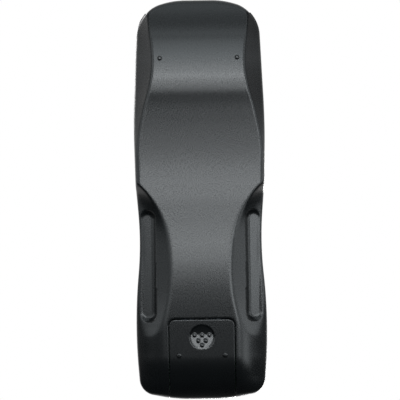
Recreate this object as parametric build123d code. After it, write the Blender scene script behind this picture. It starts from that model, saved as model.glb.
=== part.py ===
"""A hand-held television remote control with a contoured back, in millimetres.

The remote lies on its back, on four small rest nubs whose tips are at z = 0.
+Y points to the end with the infrared window, +Z is the side with the keys, and
x = 0 is the plane of symmetry. The origin is the centre of the outline.
"""
from build123d import *
import math
import os

os.makedirs("parts", exist_ok=True)

# Outline of the body, seen from above
body_length = 216.0
hip_half_width = 35.4

# Moulded housing
wall = 2.0
face_plate = 1.8
parting_z = 14.0
rim_bevel = 1.8
face_bevel, face_bevel_inside = 2.6, 1.5
round_sides = 12
fit_gap = 0.3
crease_overrun = 2.0

# Rest nubs
nub_radius, nub_edge = 1.15, 0.35
upper_nub_x, upper_nub_inset = 20.8, 31.8
door_nub_x, door_nub_inset = 12.4, 24.3

# Battery cells and their compartment
cell_radius = 7.25
cell_length = 50.5
cell_nub_radius, cell_nub_height = 2.7, 1.2
cell_pitch = 14.8
cell_play = 0.25
spring_space = 7.1
contact_sheet, contact_half_width, contact_tail = 0.4, 5.25, 2.5
tub_wall = 1.0
tub_floor = 1.3
tub_end_inset = 15.0
tub_end_depth = 3.5

# Battery door
door_half_width = 17.65
door_length = 43.5
door_corner_radius = 3.5
door_rest_height = 0.6
cell_above_door = 1.5
rail_height, rail_depth, rail_end = 0.8, 0.6, 3.0
rail_above_door = 1.2
door_rib = 0.9
dish_radius = 6.5
dish_inset = 34.0
dish_depth = 1.5
dish_wall = 1.0
dot_radius, dot_height = 1.0, 0.45
latch_half_width, latch_length, latch_thickness = 3.5, 2.5, 1.1
dot_places = [(-4.0, 1.1), (0.0, 1.1), (4.0, 1.1), (-2.0, -1.9), (2.0, -1.9), (0.0, -4.3)]
door_rib_insets = (23.0, 39.5)
lip_height = 0.8

# Finger grooves in the flanks
groove_radius = 6.5
groove_depth = 2.2
groove_end_steps = (40.0, 70.0)
groove_edge_inset = 7.2
groove_insets = (102.5, 42.5)

# Board, mat and keys
board_thickness = 1.6
mat_thickness, mat_inset = 0.8, 0.5
seat_gap = 0.2
key_travel = 1.0
key_flange, key_flange_lip = 0.8, 0.7
key_clearance = 0.25
key_proud = 1.4
round_key_sides, nav_sides = 14, 4

# Infrared window and what is behind it
window_half_width = 16.0
window_height = 7.5
led_x, led_radius, led_collar, led_length = 5.5, 2.5, 0.4, 5.5

# Parts on the board
chip_place, chip_width, chip_length, chip_height, chip_legs = (0.0, 20.0), 7.5, 18.0, 2.4, 5
resonator_place = (10.0, 4.0)
capacitor_place, capacitor_radius, capacitor_length = (-10.0, -12.0), 3.15, 11.0
wire_radius, spring_radius, spring_taper, spring_turns, spring_steps = 0.35, 4.0, 1.0, 3, 9

# Key sizes: width, height and the cut of the corners, or a radius alone
source_key = (13.0, 6.0, 1.4)
corner_key = (10.5, 6.5, 1.6)
rocker_key = (12.0, 14.0, 2.4)
number_key = (13.0, 8.5, 2.0)
transport_key = (13.0, 7.0, 1.6)
power_key_radius, select_key_radius, small_key_radius = 4.8, 6.3, 4.6
nav_inner_radius, nav_outer_radius, nav_spread = 8.6, 16.4, 72.0

# Where the keys lie on the face
key_column = 18.5
first_row_inset, last_row_inset = 17.0, 25.5
nav_corner_x, nav_corner_y = 21.5, 17.0
rocker_pitch = 16.5
row_steps = {"power": 12.0, "nav": 12.0, "rocker": 14.75, "pad": 18.25, "pad_row": 12.6, "transport": 17.4,
             "transport_row": 10.8}
pad_rows, transport_rows = 4, 2

# Posts of the rear shell that carry the board
post_radius, post_rib = 2.0, 1.5
post_x, post_top_inset, post_pitch, post_count = 17.0, 42.0, 38.0, 3

# Screws that hold the two shells together
screw_radius = 1.1
screw_head_radius, screw_head_height = 2.2, 1.3
screw_boss_radius = 2.1
screw_insets = (43.6, 18.4)

half_length = body_length / 2
heel = -half_length
door_top_y = heel + door_length
upper_nub_y, door_nub_y = half_length - upper_nub_inset, heel + door_nub_inset
dish_y = heel + dish_inset
door_rib_y = [heel + inset for inset in door_rib_insets]
groove_top_y, groove_end_y = [heel + inset for inset in groove_insets]
groove_x = hip_half_width - groove_edge_inset
screw_places = [(0.0, heel + inset) for inset in screw_insets]
window_top_z = parting_z + window_height

# Heights that stack up from the door to the tops of the keys
door_skin = wall - fit_gap
door_inner_z = door_rest_height + door_skin
cell_axis_z = door_inner_z + cell_above_door + cell_radius
contact_low_z = cell_axis_z - tub_end_depth + 0.5
tub_floor_z = cell_axis_z + cell_radius + fit_gap
tub_top_z = tub_floor_z + tub_floor
board_z = tub_top_z + seat_gap
board_top_z = board_z + board_thickness
mat_top_z = board_top_z + mat_thickness
flange_z = mat_top_z + fit_gap + key_travel
plate_z = flange_z + key_flange + 0.1
face_z = plate_z + face_plate
key_top_z = face_z + key_proud
led_axis_z = board_z - led_radius - led_collar - seat_gap

# Compartment walls, which follow from the cells
tub_half_width = cell_pitch / 2 + cell_radius + cell_play
tub_end_y = heel + tub_end_inset
tub_inner_y = tub_end_y + contact_sheet + cell_length + spring_space

# The posts keep clear of the compartment
post_room = half_length - post_top_inset - (tub_inner_y + tub_wall + post_rib)
post_rows = [half_length - post_top_inset - min(post_pitch, post_room / (post_count - 1)) * step
             for step in range(post_count)][::-1]

# Rows of keys: the steps between them share the room between the first row and the last
step_sum = (row_steps["power"] + row_steps["nav"] + row_steps["rocker"] + row_steps["pad"] + row_steps["transport"]
            + (pad_rows - 1) * row_steps["pad_row"] + (transport_rows - 1) * row_steps["transport_row"])
row_room = body_length - first_row_inset - last_row_inset - 2 * nav_corner_y - rocker_pitch
row_step = {name: step * row_room / step_sum for name, step in row_steps.items()}
source_row_y = half_length - first_row_inset
power_row_y = source_row_y - row_step["power"]
nav_y = power_row_y - row_step["nav"] - nav_corner_y
rocker_y = nav_y - nav_corner_y - row_step["rocker"] - rocker_pitch / 2
pad_top_y = rocker_y - rocker_pitch / 2 - row_step["pad"]
pad_pitch = row_step["pad_row"]
transport_top_y = pad_top_y - (pad_rows - 1) * pad_pitch - row_step["transport"]
transport_pitch = row_step["transport_row"]

# Outline of the right half: corners of a polygon, each with the radius that rounds it
outline_corners = [
    (hip_half_width - 22.3, half_length, 42.0),
    (hip_half_width - 10.6, half_length - 3.5, 16.3),
    (hip_half_width - 2.2, half_length - 13.6, 17.4),
    (hip_half_width + 0.1, half_length - 64.8, 460.0),
    (hip_half_width - 0.6, 8.3, 128.0),
    (hip_half_width - 3.2, heel + 85.0, 185.0),
    (hip_half_width + 1.0, heel + 41.3, 285.0),
    (hip_half_width - 1.9, heel + 4.1, 9.0),
    (hip_half_width - 20.6, heel, 80.0),
]

# Corners of the right half of the circuit board
board_corners = [
    (hip_half_width - 20.9, half_length - 4.0),
    (hip_half_width - 11.4, half_length - 8.0),
    (hip_half_width - 6.8, half_length - 14.0),
    (hip_half_width - 5.4, half_length - 20.0),
    (hip_half_width - 3.4, half_length - 65.0),
    (hip_half_width - 4.0, 8.0),
    (hip_half_width - 5.7, heel + 88.0),
    (hip_half_width - 4.9, heel + 68.0),
    (hip_half_width - 3.4, heel + 42.0),
    (hip_half_width - 3.8, heel + 24.0),
    (hip_half_width - 4.7, heel + 12.0),
    (hip_half_width - 8.4, heel + 6.0),
    (hip_half_width - 20.9, heel + 3.8),
]

# Side profile of the back on the centre line: corners of a polygon, each with its radius
back_start = (half_length + 4.0, 13.7)
back_corners = [
    (half_length - 10.6, 6.3, 95.0),
    (half_length - 30.5, 0.05, 58.0),
    (half_length - 50.0, 1.0, 60.0),
    (13.0, 5.6, 393.0),
    (heel + 61.0, door_rest_height, 380.0),
    (heel + 18.0, door_rest_height, 28.0),
    (heel + 4.7, 6.3, 32.0),
]
back_end = (heel - 4.0, 16.8)

# Half width of the flat band between the upper hollows, and of the band between the grips
upper_crease = [
    (half_length + 4.0, hip_half_width - 8.0),
    (half_length - 8.0, hip_half_width - 8.4),
    (half_length - 17.0, hip_half_width - 9.2),
    (half_length - 26.0, hip_half_width - 10.3),
    (half_length - 34.0, hip_half_width - 10.6),
    (half_length - 41.5, hip_half_width - 10.0),
    (half_length - 49.0, hip_half_width - 8.5),
    (half_length - 57.0, hip_half_width - 6.2),
    (half_length - 65.0, hip_half_width - 4.3),
    (half_length - 73.0, hip_half_width - 2.7),
    (half_length - 82.0, hip_half_width - 1.5),
    (half_length - 93.0, hip_half_width + 0.5),
]
grip_crease = [
    (heel + 121.0, hip_half_width + 0.8),
    (heel + 116.5, hip_half_width - 2.2),
    (heel + 112.0, hip_half_width - 6.4),
    (heel + 106.7, hip_half_width - 10.2),
    (heel + 101.5, hip_half_width - 13.2),
    (heel + 95.0, door_half_width + 1.85),
    (heel + 88.0, door_half_width + 0.05),
    (heel + 78.0, door_half_width - 1.15),
    (heel + 66.0, door_half_width - 1.35),
    (heel + 56.0, door_half_width - 0.45),
    (heel + 48.0, door_half_width + 1.15),
    (heel + 42.0, door_half_width + 2.85),
    (heel + 36.5, door_half_width + 4.95),
    (heel + 33.0, door_half_width + 7.65),
    (heel + 31.2, hip_half_width - 5.9),
    (heel + 30.0, hip_half_width + 0.6),
]
upper_slope = 1.2
upper_hollow = 0.5
grip_edge_x, grip_edge_z = hip_half_width - 0.7, 11.3
grip_steepest = 1.3
grip_hollow = 0.6
heel_flank_x = door_half_width + 0.55
heel_flank = [
    (heel + 60.0, 12.5),
    (heel + 48.0, 13.0),
    (heel + 33.0, 13.2),
    (heel + 22.0, 13.2),
    (heel + 14.0, 12.0),
    (heel + 7.0, 9.0),
    (heel - 4.0, 5.0),
]
heel_swell = -3.5
relief_margin = 4.6
relief_reach = hip_half_width + relief_margin
relief_floor = -9.0


def held_radii(points, radii):
    """The radii of a line's corners, each held within the straight runs beside it."""
    reach = [0.0]
    for before, corner, after, radius in zip(points, points[1:], points[2:], radii):
        turn = (Vector(*corner) - Vector(*before)).get_angle(Vector(*after) - Vector(*corner))
        reach.append(radius * math.tan(math.radians(turn) / 2))
    reach.append(0.0)
    share = [min(1.0, 0.995 * (Vector(*q) - Vector(*p)).length / (s + t))
             for p, q, s, t in zip(points, points[1:], reach, reach[1:])]
    return [radius * min(pair) for radius, pair in zip(radii, zip(share, share[1:]))]


def outline(inset=0.0):
    """The outline of the body as a face, or one drawn in by the inset."""
    points = [(0, half_length)] + [(x, y) for x, y, _ in outline_corners] + [(0, heel)]
    right = FilletPolyline(*points, radius=held_radii(points, [radius for _, _, radius in outline_corners]))
    face = Face(Wire(right.edges() + mirror(right, about=Plane.YZ).edges()))
    return offset(face, -inset, kind=Kind.ARC) if inset else face


def slab(face, low, high):
    """The face drawn up into a solid between two heights."""
    return extrude(Pos(0, 0, low) * face, high - low, dir=(0, 0, 1))


def pin(x, y, low, high, radius, sides=round_sides):
    """An upright pin with many flat sides."""
    return Pos(x, y, 0) * slab(RegularPolygon(radius, sides), low, high)


def block(x, y, z):
    """A box from its lowest and highest x, y and z."""
    return Pos(x[0], y[0], z[0]) * Box(x[1] - x[0], y[1] - y[0], z[1] - z[0],
                                       align=(Align.MIN, Align.MIN, Align.MIN))


def back_line(inset=0.0):
    """The side profile of the back on the centre line, raised by the inset."""
    points = [back_start] + [(y, z) for y, z, _ in back_corners] + [back_end]
    line = FilletPolyline(*[(y, z + inset) for y, z in points],
                          radius=held_radii(points, [radius for _, _, radius in back_corners]))
    return Plane.YZ * Wire(line.edges())


centre_line = back_line()


def back_height(y):
    """Height of the back on the centre line at y."""
    low, high = 0.0, 1.0
    for _ in range(40):
        middle = (low + high) / 2
        if (centre_line @ middle).Y > y:
            low = middle
        else:
            high = middle
    return (centre_line @ low).Z


def back_body(inset):
    """The back as if it had no hollows: its side profile cut to the outline."""
    lid = 40.0
    curve = back_line(inset)
    start, end = curve @ 0, curve @ 1
    closing = Polyline(end, (0, end.Y, lid), (0, start.Y, lid), start)
    profile = make_face(curve.edges() + closing.edges())
    body = extrude(profile, relief_reach, both=True)
    return body & slab(outline(inset), relief_floor, lid)


def relief(stations, inset):
    """What is cut off the right flank. Each station gives y, the crease, the outer point and the
    hollow of the line between them, and the cut runs on below the back to leave a clean crease. The
    line is straight on the inside of the shell."""
    sections = []
    for y, crease, outer, hollow in stations:
        run, rise = outer[0] - crease[0], outer[1] - crease[1]
        length = math.hypot(run, rise)
        normal = (-rise / length, run / length)
        shift = (normal[0] * inset, normal[1] * inset)
        low = (crease[0] - crease_overrun + shift[0],
               crease[1] - crease_overrun * rise / run + shift[1])
        high = (outer[0] + shift[0], outer[1] + shift[1])
        middle = ((low[0] + high[0]) / 2 + normal[0] * hollow,
                  (low[1] + high[1]) / 2 + normal[1] * hollow)
        if inset:
            skin = Line((low[0], y, low[1]), (high[0], y, high[1]))
        else:
            skin = Bezier((low[0], y, low[1]), (middle[0], y, middle[1]), (high[0], y, high[1]))
        rest = Polyline((high[0], y, high[1]), (relief_reach + 2, y, high[1]),
                        (relief_reach + 2, y, relief_floor), (low[0], y, relief_floor),
                        (low[0], y, low[1]))
        sections.append(Face(Wire(skin.edges() + rest.edges())))
    return Solid(loft(sections).wrapped)


def upper_relief(inset):
    """The steep hollow beside the band in the upper half."""
    stations = []
    for y, x in upper_crease:
        z = back_height(y)
        stations.append((y, (x, z), (relief_reach, z + upper_slope * (relief_reach - x)), upper_hollow))
    return relief(stations, inset)


def grip_relief(inset):
    """The long hollow of the grip in the lower half, whose outer edge keeps one height."""
    stations = []
    for y, x in grip_crease:
        z = back_height(y)
        edge_x = max(grip_edge_x, x + fit_gap)
        slope = min((grip_edge_z - z) / (edge_x - x), grip_steepest)
        stations.append((y, (x, z), (relief_reach, z + slope * (relief_reach - x)), grip_hollow))
    return relief(stations, inset)


def heel_relief(inset):
    """The round flank beside the battery door."""
    stations = []
    for y, rise in heel_flank:
        z = back_height(y)
        stations.append((y, (heel_flank_x, z), (relief_reach - 3, z + rise), heel_swell))
    return relief(stations, inset)


def groove(inset):
    """The finger groove in the right flank, as a bar with stepped tapers at its ends. The room left for
    it inside the shell has flat ends."""
    radius = groove_radius + inset
    ends = []
    for y in (groove_top_y - groove_radius, groove_end_y + groove_radius):
        ends.append(Vector(groove_x, y, groove_surface(y) + groove_depth - groove_radius))
    way = (ends[1] - ends[0]).normalized()
    if inset:
        start, end = ends[0] - way * radius, ends[1] + way * radius
        return Solid.extrude(Face(Wire(Edge.make_circle(radius, Plane(start, z_dir=way)))), end - start)
    body = Solid.extrude(Face(Wire(Edge.make_circle(radius, Plane(ends[0], z_dir=way)))), ends[1] - ends[0])
    for end, turned in ((ends[0], -way), (ends[1], way)):
        reach, wide = 0.0, radius
        for step in groove_end_steps:
            narrow = radius * math.cos(math.radians(step))
            rise = radius * math.sin(math.radians(step)) - reach
            taper = Cone(wide, narrow, rise, align=(Align.CENTER, Align.CENTER, Align.MIN))
            body = body + Plane(end + turned * reach, z_dir=turned) * taper
            reach, wide = reach + rise, narrow
    return body


def groove_surface(y):
    """Height of the grip's hollow at the groove's axis, before the groove is cut."""
    z = back_height(y)
    x = band_half_width(y)
    return z + (grip_edge_z - z) * (groove_x - x) / (grip_edge_x - x)


def band_half_width(y):
    """Half width of the band between the grips at y, between the stations that are given."""
    for (y0, x0), (y1, x1) in zip(grip_crease, grip_crease[1:]):
        if y1 <= y <= y0:
            return x0 + (x1 - x0) * (y0 - y) / (y0 - y1)
    return grip_edge_x


def both_sides(solid):
    """A solid and its mirror image across the plane of symmetry."""
    return [solid, mirror(solid, about=Plane.YZ)]


def back_form(inset):
    """The back with its hollows and grooves, as one closed form without its inside."""
    body = back_body(inset)
    if not inset:
        rim = [edge for edge in body.edges() if edge.center().Z < parting_z]
        body = chamfer(rim, rim_bevel)
    for cutter in (upper_relief(inset), grip_relief(inset), heel_relief(inset), groove(inset)):
        for side in both_sides(cutter):
            body = body - side
    return body


def front_form(inset):
    """The front shell's outer form, or the space inside it."""
    top = face_z - (face_plate if inset else 0)
    form = slab(outline(inset), parting_z, top)
    rim = form.edges().group_by(Axis.Z)[-1]
    return chamfer(rim, face_bevel_inside if inset else face_bevel)


def door_plan(grow):
    """The door's outline seen from below: round corners at its top, open past the heel."""
    half, top, low = door_half_width + grow, door_top_y + grow, heel - 6.0
    corners = Polyline((half, low), (half, top), (-half, top), (-half, low))
    bent = fillet(corners.vertices().group_by(Axis.Y)[-1], door_corner_radius + grow)
    return make_face(bent.edges() + Line((-half, low), (half, low)).edges())


def dish_plane():
    """The plane of the thumb dish's floor, deepest at the edge away from the heel."""
    tilt = math.degrees(math.atan2(dish_depth, 2 * dish_radius))
    middle = (0, dish_y, door_rest_height + dish_depth / 2)
    return Plane(middle).rotated((tilt, 0, 0))


outer_back = back_form(0.0)
inner_back = back_form(wall)


def make_rear_shell():
    """The contoured rear shell, with the battery compartment that stands inside it."""
    span = (-relief_reach, relief_reach)
    below = block(span, (heel - 6, half_length + 6), (relief_floor, parting_z))
    shell = (outer_back & below) - inner_back - slab(door_plan(fit_gap), relief_floor, parting_z + 1)

    tub_x = tub_half_width + tub_wall
    tub = block((-tub_x, tub_x), (tub_end_y - tub_wall, tub_inner_y + tub_wall), (0, tub_top_z))
    tub = tub & inner_back
    tub = tub - block((-tub_half_width, tub_half_width), (tub_end_y, tub_inner_y), (0, tub_floor_z))
    low_end = cell_axis_z - tub_end_depth
    tub = tub - block((-tub_x, tub_x), (tub_end_y - tub_wall, tub_end_y), (0, low_end))
    rail_z = door_inner_z + rail_above_door
    for side in (-1, 1):
        rail_x = sorted((side * tub_x, side * (tub_x + rail_depth)))
        tub = tub + block(rail_x, (tub_end_y + rail_end, door_top_y), (rail_z, rail_z + rail_height))
        foot = block(sorted((side * tub_half_width, side * tub_x)), (tub_end_y, door_top_y),
                     (0, door_inner_z + fit_gap))
        tub = tub - foot
    shell = shell + tub
    for x in (-cell_pitch / 2, cell_pitch / 2):
        tail_x = (x - contact_tail / 2 - 0.1, x + contact_tail / 2 + 0.1)
        shell = shell - block(tail_x, (tub_inner_y - contact_sheet - 0.1, tub_inner_y),
                              (tub_floor_z - 1, tub_top_z + 1))
    for x, y in screw_places:
        shell = shell - pin(x, y, tub_floor_z - 1, tub_top_z + 1, screw_radius + seat_gap)
    for x in (-post_x, post_x):
        for y in post_rows:
            post = block((x - post_radius, x + post_radius), (y - post_rib / 2, y + post_rib / 2), (0, board_z))
            shell = shell + (post & inner_back)
    for x in (-upper_nub_x, upper_nub_x):
        shell = shell + rest_nub(x, upper_nub_y)
    return shell


def rest_nub(x, y):
    """A rest nub: a short pin with a bevelled tip at z = 0."""
    nub = pin(x, y, 0, back_height(y) + wall / 2, nub_radius)
    return chamfer(nub.edges().group_by(Axis.Z)[0], nub_edge)


def make_door():
    """The battery door, which wraps round the heel and slides off along its rails."""
    door = (outer_back & slab(door_plan(0), relief_floor, parting_z - seat_gap)) - back_form(door_skin)

    floor = dish_plane()
    boss = pin(0, dish_y, door_inner_z - 0.1, door_inner_z + dish_depth + dish_wall, dish_radius + dish_wall,
               2 * round_sides)
    under_floor = floor.offset(dish_wall)
    cut_away = extrude(under_floor * Rectangle(4.5 * dish_radius, 4.5 * dish_radius), 10)
    door = door + (boss - cut_away)
    door = door - extrude(floor * RegularPolygon(dish_radius, 2 * round_sides), 10, dir=-floor.z_dir)
    for x, y in dot_places:
        spot = floor.from_local_coords((x, y, 0))
        face = Plane(spot, z_dir=floor.z_dir) * RegularPolygon(dot_radius, 8)
        door = door + extrude(face, dot_height, dir=-floor.z_dir)

    rib_top = door_inner_z + rail_above_door + rail_height + key_clearance + lip_height
    for side in (-1, 1):
        edge_x = side * door_half_width
        rib_x = side * (door_half_width - door_rib)
        lip_x = side * (tub_half_width + tub_wall + fit_gap)
        rib = block(sorted((edge_x, rib_x)), door_rib_y, (door_inner_z - 0.2, rib_top))
        lip = block(sorted((rib_x, lip_x)), door_rib_y, (rib_top - lip_height, rib_top))
        door = door + rib + lip

    latch_z = back_height(door_top_y) + wall + key_clearance
    latch_x = (-latch_half_width, latch_half_width)
    riser = block(latch_x, (door_top_y - latch_length, door_top_y), (door_inner_z - 0.2, latch_z + latch_thickness))
    tongue = block(latch_x, (door_top_y - latch_length, door_top_y + latch_length),
                   (latch_z, latch_z + latch_thickness))
    door = door + riser + tongue
    for x in (-door_nub_x, door_nub_x):
        door = door + rest_nub(x, door_nub_y)
    return door


def key_plate(width, height, cut):
    """The plan of a key: a rectangle with its corners cut off."""
    x, y = width / 2, height / 2
    corners = [(x, y - cut), (x - cut, y), (cut - x, y), (-x, y - cut),
               (-x, cut - y), (cut - x, -y), (x - cut, -y), (x, cut - y)]
    return make_face(Polyline(*corners, close=True).edges())


def arrow_plan(angle, grow):
    """The plan of an arrow key: a piece of a ring, whose gap to its neighbours shrinks as it grows."""
    inner, outer = nav_inner_radius - grow, nav_outer_radius + grow
    spread = nav_spread / 2 + math.degrees(grow / nav_inner_radius)
    turns = [angle + spread * (2 * step / nav_sides - 1) for step in range(nav_sides + 1)]
    spots = [(outer * math.cos(math.radians(turn)), outer * math.sin(math.radians(turn))) for turn in turns]
    turns = [angle + spread, angle, angle - spread]
    spots += [(inner * math.cos(math.radians(turn)), inner * math.sin(math.radians(turn))) for turn in turns]
    return make_face(Polyline(*spots, close=True).edges())


def key_plans():
    """Each key's name, place, the function that gives its plan grown by a margin, and its flange."""
    lip = key_flange_lip

    def plate(width, height, cut):
        def plan(grow):
            return key_plate(width + 2 * grow, height + 2 * grow, cut + grow * 0.6)
        return plan, Rectangle(width + 2 * lip, height + 2 * lip)

    def disc(radius):
        def plan(grow):
            return RegularPolygon(radius + grow, round_key_sides)
        return plan, plan(lip)

    def arrow(angle):
        def plan(grow):
            return arrow_plan(angle, grow)
        return plan, plan(lip)

    keys = []
    for name, x in zip(("cable", "tv", "aux"), (-key_column, 0, key_column)):
        keys.append((f"key_{name}", (x, source_row_y), *plate(*source_key)))
    keys.append(("key_power", (key_column, power_row_y), *disc(power_key_radius)))
    keys.append(("key_input", (-key_column, power_row_y), *plate(*source_key)))
    for name, angle in (("right", 0), ("up", 90), ("left", 180), ("down", 270)):
        keys.append((f"key_{name}", (0, nav_y), *arrow(angle)))
    keys.append(("key_select", (0, nav_y), *disc(select_key_radius)))
    corners = (("guide", -1, 1), ("info", 1, 1), ("menu", -1, -1), ("exit", 1, -1))
    for name, side, end in corners:
        place = (side * nav_corner_x, nav_y + end * nav_corner_y)
        keys.append((f"key_{name}", place, *plate(*corner_key)))
    for name, side in (("volume", -1), ("channel", 1)):
        for way, end in (("up", 1), ("down", -1)):
            place = (side * key_column, rocker_y + end * rocker_pitch / 2)
            keys.append((f"key_{name}_{way}", place, *plate(*rocker_key)))
    keys.append(("key_mute", (0, rocker_y + rocker_pitch / 2), *disc(small_key_radius)))
    keys.append(("key_last", (0, rocker_y - rocker_pitch / 2), *disc(small_key_radius)))
    pad = (("1", "2", "3"), ("4", "5", "6"), ("7", "8", "9"), ("clear", "0", "enter"))
    for row, names in enumerate(pad):
        for column, name in enumerate(names):
            place = ((column - 1) * key_column, pad_top_y - row * pad_pitch)
            keys.append((f"key_{name}", place, *plate(*number_key)))
    transport = (("rewind", "play", "forward"), ("record", "stop", "pause"))
    for row, names in enumerate(transport):
        for column, name in enumerate(names):
            place = ((column - 1) * key_column, transport_top_y - row * transport_pitch)
            keys.append((f"key_{name}", place, *plate(*transport_key)))
    return keys


def make_key(place, plan, foot):
    """A key: its cap stands through the front shell, and its flange holds it in from below."""
    x, y = place
    cap = slab(plan(0), flange_z + key_flange, key_top_z)
    flange = slab(foot, flange_z, flange_z + key_flange)
    return Pos(x, y, 0) * (cap + flange)


def make_front_shell(keys):
    """The front shell: a thin housing with a hole for each key, a window notch and screw bosses."""
    shell = front_form(0.0) - front_form(wall)
    notch = block((-window_half_width, window_half_width), (half_length - 2 * wall, half_length + 5),
                  (relief_floor, window_top_z))
    shell = shell - notch
    for x, y in screw_places:
        boss = pin(x, y, tub_top_z + 0.1, plate_z + 0.1, screw_boss_radius)
        shell = shell + boss - pin(x, y, tub_top_z, plate_z - 0.5, screw_radius)
    holes = [Pos(x, y, 0) * slab(plan(key_clearance), plate_z - 1, face_z + 1)
             for _, (x, y), plan, _ in keys]
    return shell - holes


def make_window():
    """The infrared window, flush with the end of the housing, with a flange behind its opening."""
    half, top = window_half_width - seat_gap, window_top_z - seat_gap
    y = (half_length - 2 * wall, half_length + 5)
    end = slab(outline(0.0), parting_z, top) - slab(outline(wall + 0.1), parting_z, top)
    pane = end & block((-half, half), y, (parting_z, top))
    back = slab(outline(wall + 0.1), parting_z, top + 1) - slab(outline(wall + 1.1), parting_z, top + 1)
    flange = back & block((-half - 1.5, half + 1.5), (half_length - 3 * wall, half_length), (parting_z, top + 1))
    return pane + flange


def board_plan():
    """The plan of the circuit board, with straight edges."""
    left = [(-x, y) for x, y in reversed(board_corners)]
    return make_face(Polyline(*board_corners, *left, close=True).edges())


def make_board():
    """The circuit board, with clearance holes for the screw bosses."""
    board = slab(board_plan(), board_z, board_top_z)
    for x, y in screw_places:
        board = board - pin(x, y, board_z - 1, board_top_z + 1, screw_boss_radius + fit_gap)
    return board


def make_mat():
    """The silicone mat, which lies on the board."""
    mat = slab(offset(board_plan(), -mat_inset, kind=Kind.INTERSECTION), board_top_z, mat_top_z)
    for x, y in screw_places:
        mat = mat - pin(x, y, board_top_z - 1, mat_top_z + 1, screw_boss_radius + fit_gap)
    return mat


def make_cell(side):
    """An AA cell along y: its can and its positive nub, which points to the heel on the left."""
    x = side * cell_pitch / 2
    if side < 0:
        nub_y, way = tub_end_y + contact_sheet, 1
    else:
        nub_y, way = tub_inner_y - contact_sheet, -1
    end = Plane((x, nub_y, cell_axis_z), z_dir=(0, way, 0))
    nub = extrude(end * RegularPolygon(cell_nub_radius, round_sides), cell_nub_height)
    can = extrude(end.offset(cell_nub_height) * RegularPolygon(cell_radius, 2 * round_sides),
                  cell_length - cell_nub_height)
    return can + nub


def make_plate(side):
    """A sheet contact at the inner end of a cell, with a tail that reaches the board."""
    x = side * cell_pitch / 2
    y = (tub_inner_y - contact_sheet, tub_inner_y)
    sheet = block((x - contact_half_width, x + contact_half_width), y, (contact_low_z, tub_floor_z))
    tail = block((x - contact_tail / 2, x + contact_tail / 2), y, (tub_floor_z - 0.1, board_z))
    return sheet + tail


def make_bridge():
    """The sheet that joins the two cells at the heel."""
    half = cell_pitch / 2 + contact_half_width
    return block((-half, half), (tub_end_y, tub_end_y + contact_sheet), (contact_low_z, tub_floor_z))


def make_spring(side):
    """A coil contact at the negative end of a cell, with its wire coiled towards the cell."""
    x = side * cell_pitch / 2
    if side < 0:
        seat_y, way = tub_inner_y - contact_sheet, -1
    else:
        seat_y, way = tub_end_y + contact_sheet, 1
    length = spring_space - contact_sheet - wire_radius * 2
    count = spring_turns * spring_steps
    spots = []
    for step in range(count + 1):
        turn = 2 * math.pi * step / spring_steps
        radius = spring_radius - spring_taper * step / count
        spots.append((radius * math.cos(turn), radius * math.sin(turn), length * step / count))
    path = Polyline(*spots)
    coil = sweep(Plane(path @ 0, z_dir=path % 0) * Rectangle(2 * wire_radius, 2 * wire_radius), path,
                 transition=Transition.RIGHT)
    return Plane((x, seat_y + way * wire_radius, cell_axis_z), z_dir=(0, way, 0)) * coil


def make_screws():
    """The two screws, driven through the compartment's floor into the bosses of the front shell."""
    screws = []
    for x, y in screw_places:
        head = pin(x, y, tub_floor_z - screw_head_height, tub_floor_z, screw_head_radius)
        shank = pin(x, y, tub_floor_z, plate_z - 1.0, screw_radius)
        screws.append(head + shank)
    return Compound(children=[Part(screw.wrapped) for screw in screws])


def make_microcontroller():
    """The controller chip under the board, with its rows of legs."""
    x, y = chip_place
    body = block((x - chip_width / 2, x + chip_width / 2), (y - chip_length / 2, y + chip_length / 2),
                 (board_z - chip_height, board_z - seat_gap))
    chip = chamfer(body.edges().group_by(Axis.Z)[0], 0.3)
    pitch = chip_length / (chip_legs + 1)
    for side in (-1, 1):
        inner, outer = side * (chip_width / 2 - 0.2), side * (chip_width / 2 + 1.2)
        for leg in range(chip_legs):
            leg_y = y - chip_length / 2 + (leg + 1) * pitch
            arm = block(sorted((x + inner, x + outer)), (leg_y - 0.25, leg_y + 0.25),
                        (board_z - chip_height / 2 - 0.2, board_z - chip_height / 2 + 0.1))
            foot = block(sorted((x + side * (chip_width / 2 + 0.9), x + outer)),
                         (leg_y - 0.25, leg_y + 0.25), (board_z - chip_height / 2 - 0.2, board_z))
            chip = chip + arm + foot
    return chip


def make_resonator():
    """The resonator beside the chip."""
    x, y = resonator_place
    body = block((x - 3.5, x + 3.5), (y - 1.4, y + 1.4), (board_z - 4.5, board_z))
    return chamfer(body.edges().filter_by(Axis.Z), 0.8)


def make_capacitor():
    """The reservoir capacitor, lying under the board."""
    x, y = capacitor_place
    end = Plane((x, y, board_z - capacitor_radius), z_dir=(0, 1, 0))
    return extrude(end * RegularPolygon(capacitor_radius, 2 * round_sides), capacitor_length)


def make_leds():
    """The two infrared diodes behind the window, with their leads bent up to the board."""
    leds = []
    for x in (-led_x, led_x):
        z = led_axis_z
        tip_y = half_length - 2 * wall
        collar_y = tip_y - led_length - led_radius
        across = Plane((x, collar_y, z), z_dir=(0, 1, 0))
        body = extrude(across * RegularPolygon(led_radius, round_sides), led_length + led_radius)
        body = chamfer(body.edges().group_by(Axis.Y)[-1], led_radius * 0.4)
        led = body + extrude(across * RegularPolygon(led_radius + led_collar, round_sides), 1.0)
        for lead_x in (x - 1.27, x + 1.27):
            lead = block((lead_x - 0.25, lead_x + 0.25), (collar_y - 2.0, collar_y + 0.2), (z - 0.25, z + 0.25))
            rise = block((lead_x - 0.25, lead_x + 0.25), (collar_y - 2.0, collar_y - 1.5), (z - 0.25, board_z))
            led = led + lead + rise
        leds.append(led)
    return Compound(children=[Part(led.wrapped) for led in leds])


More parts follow.
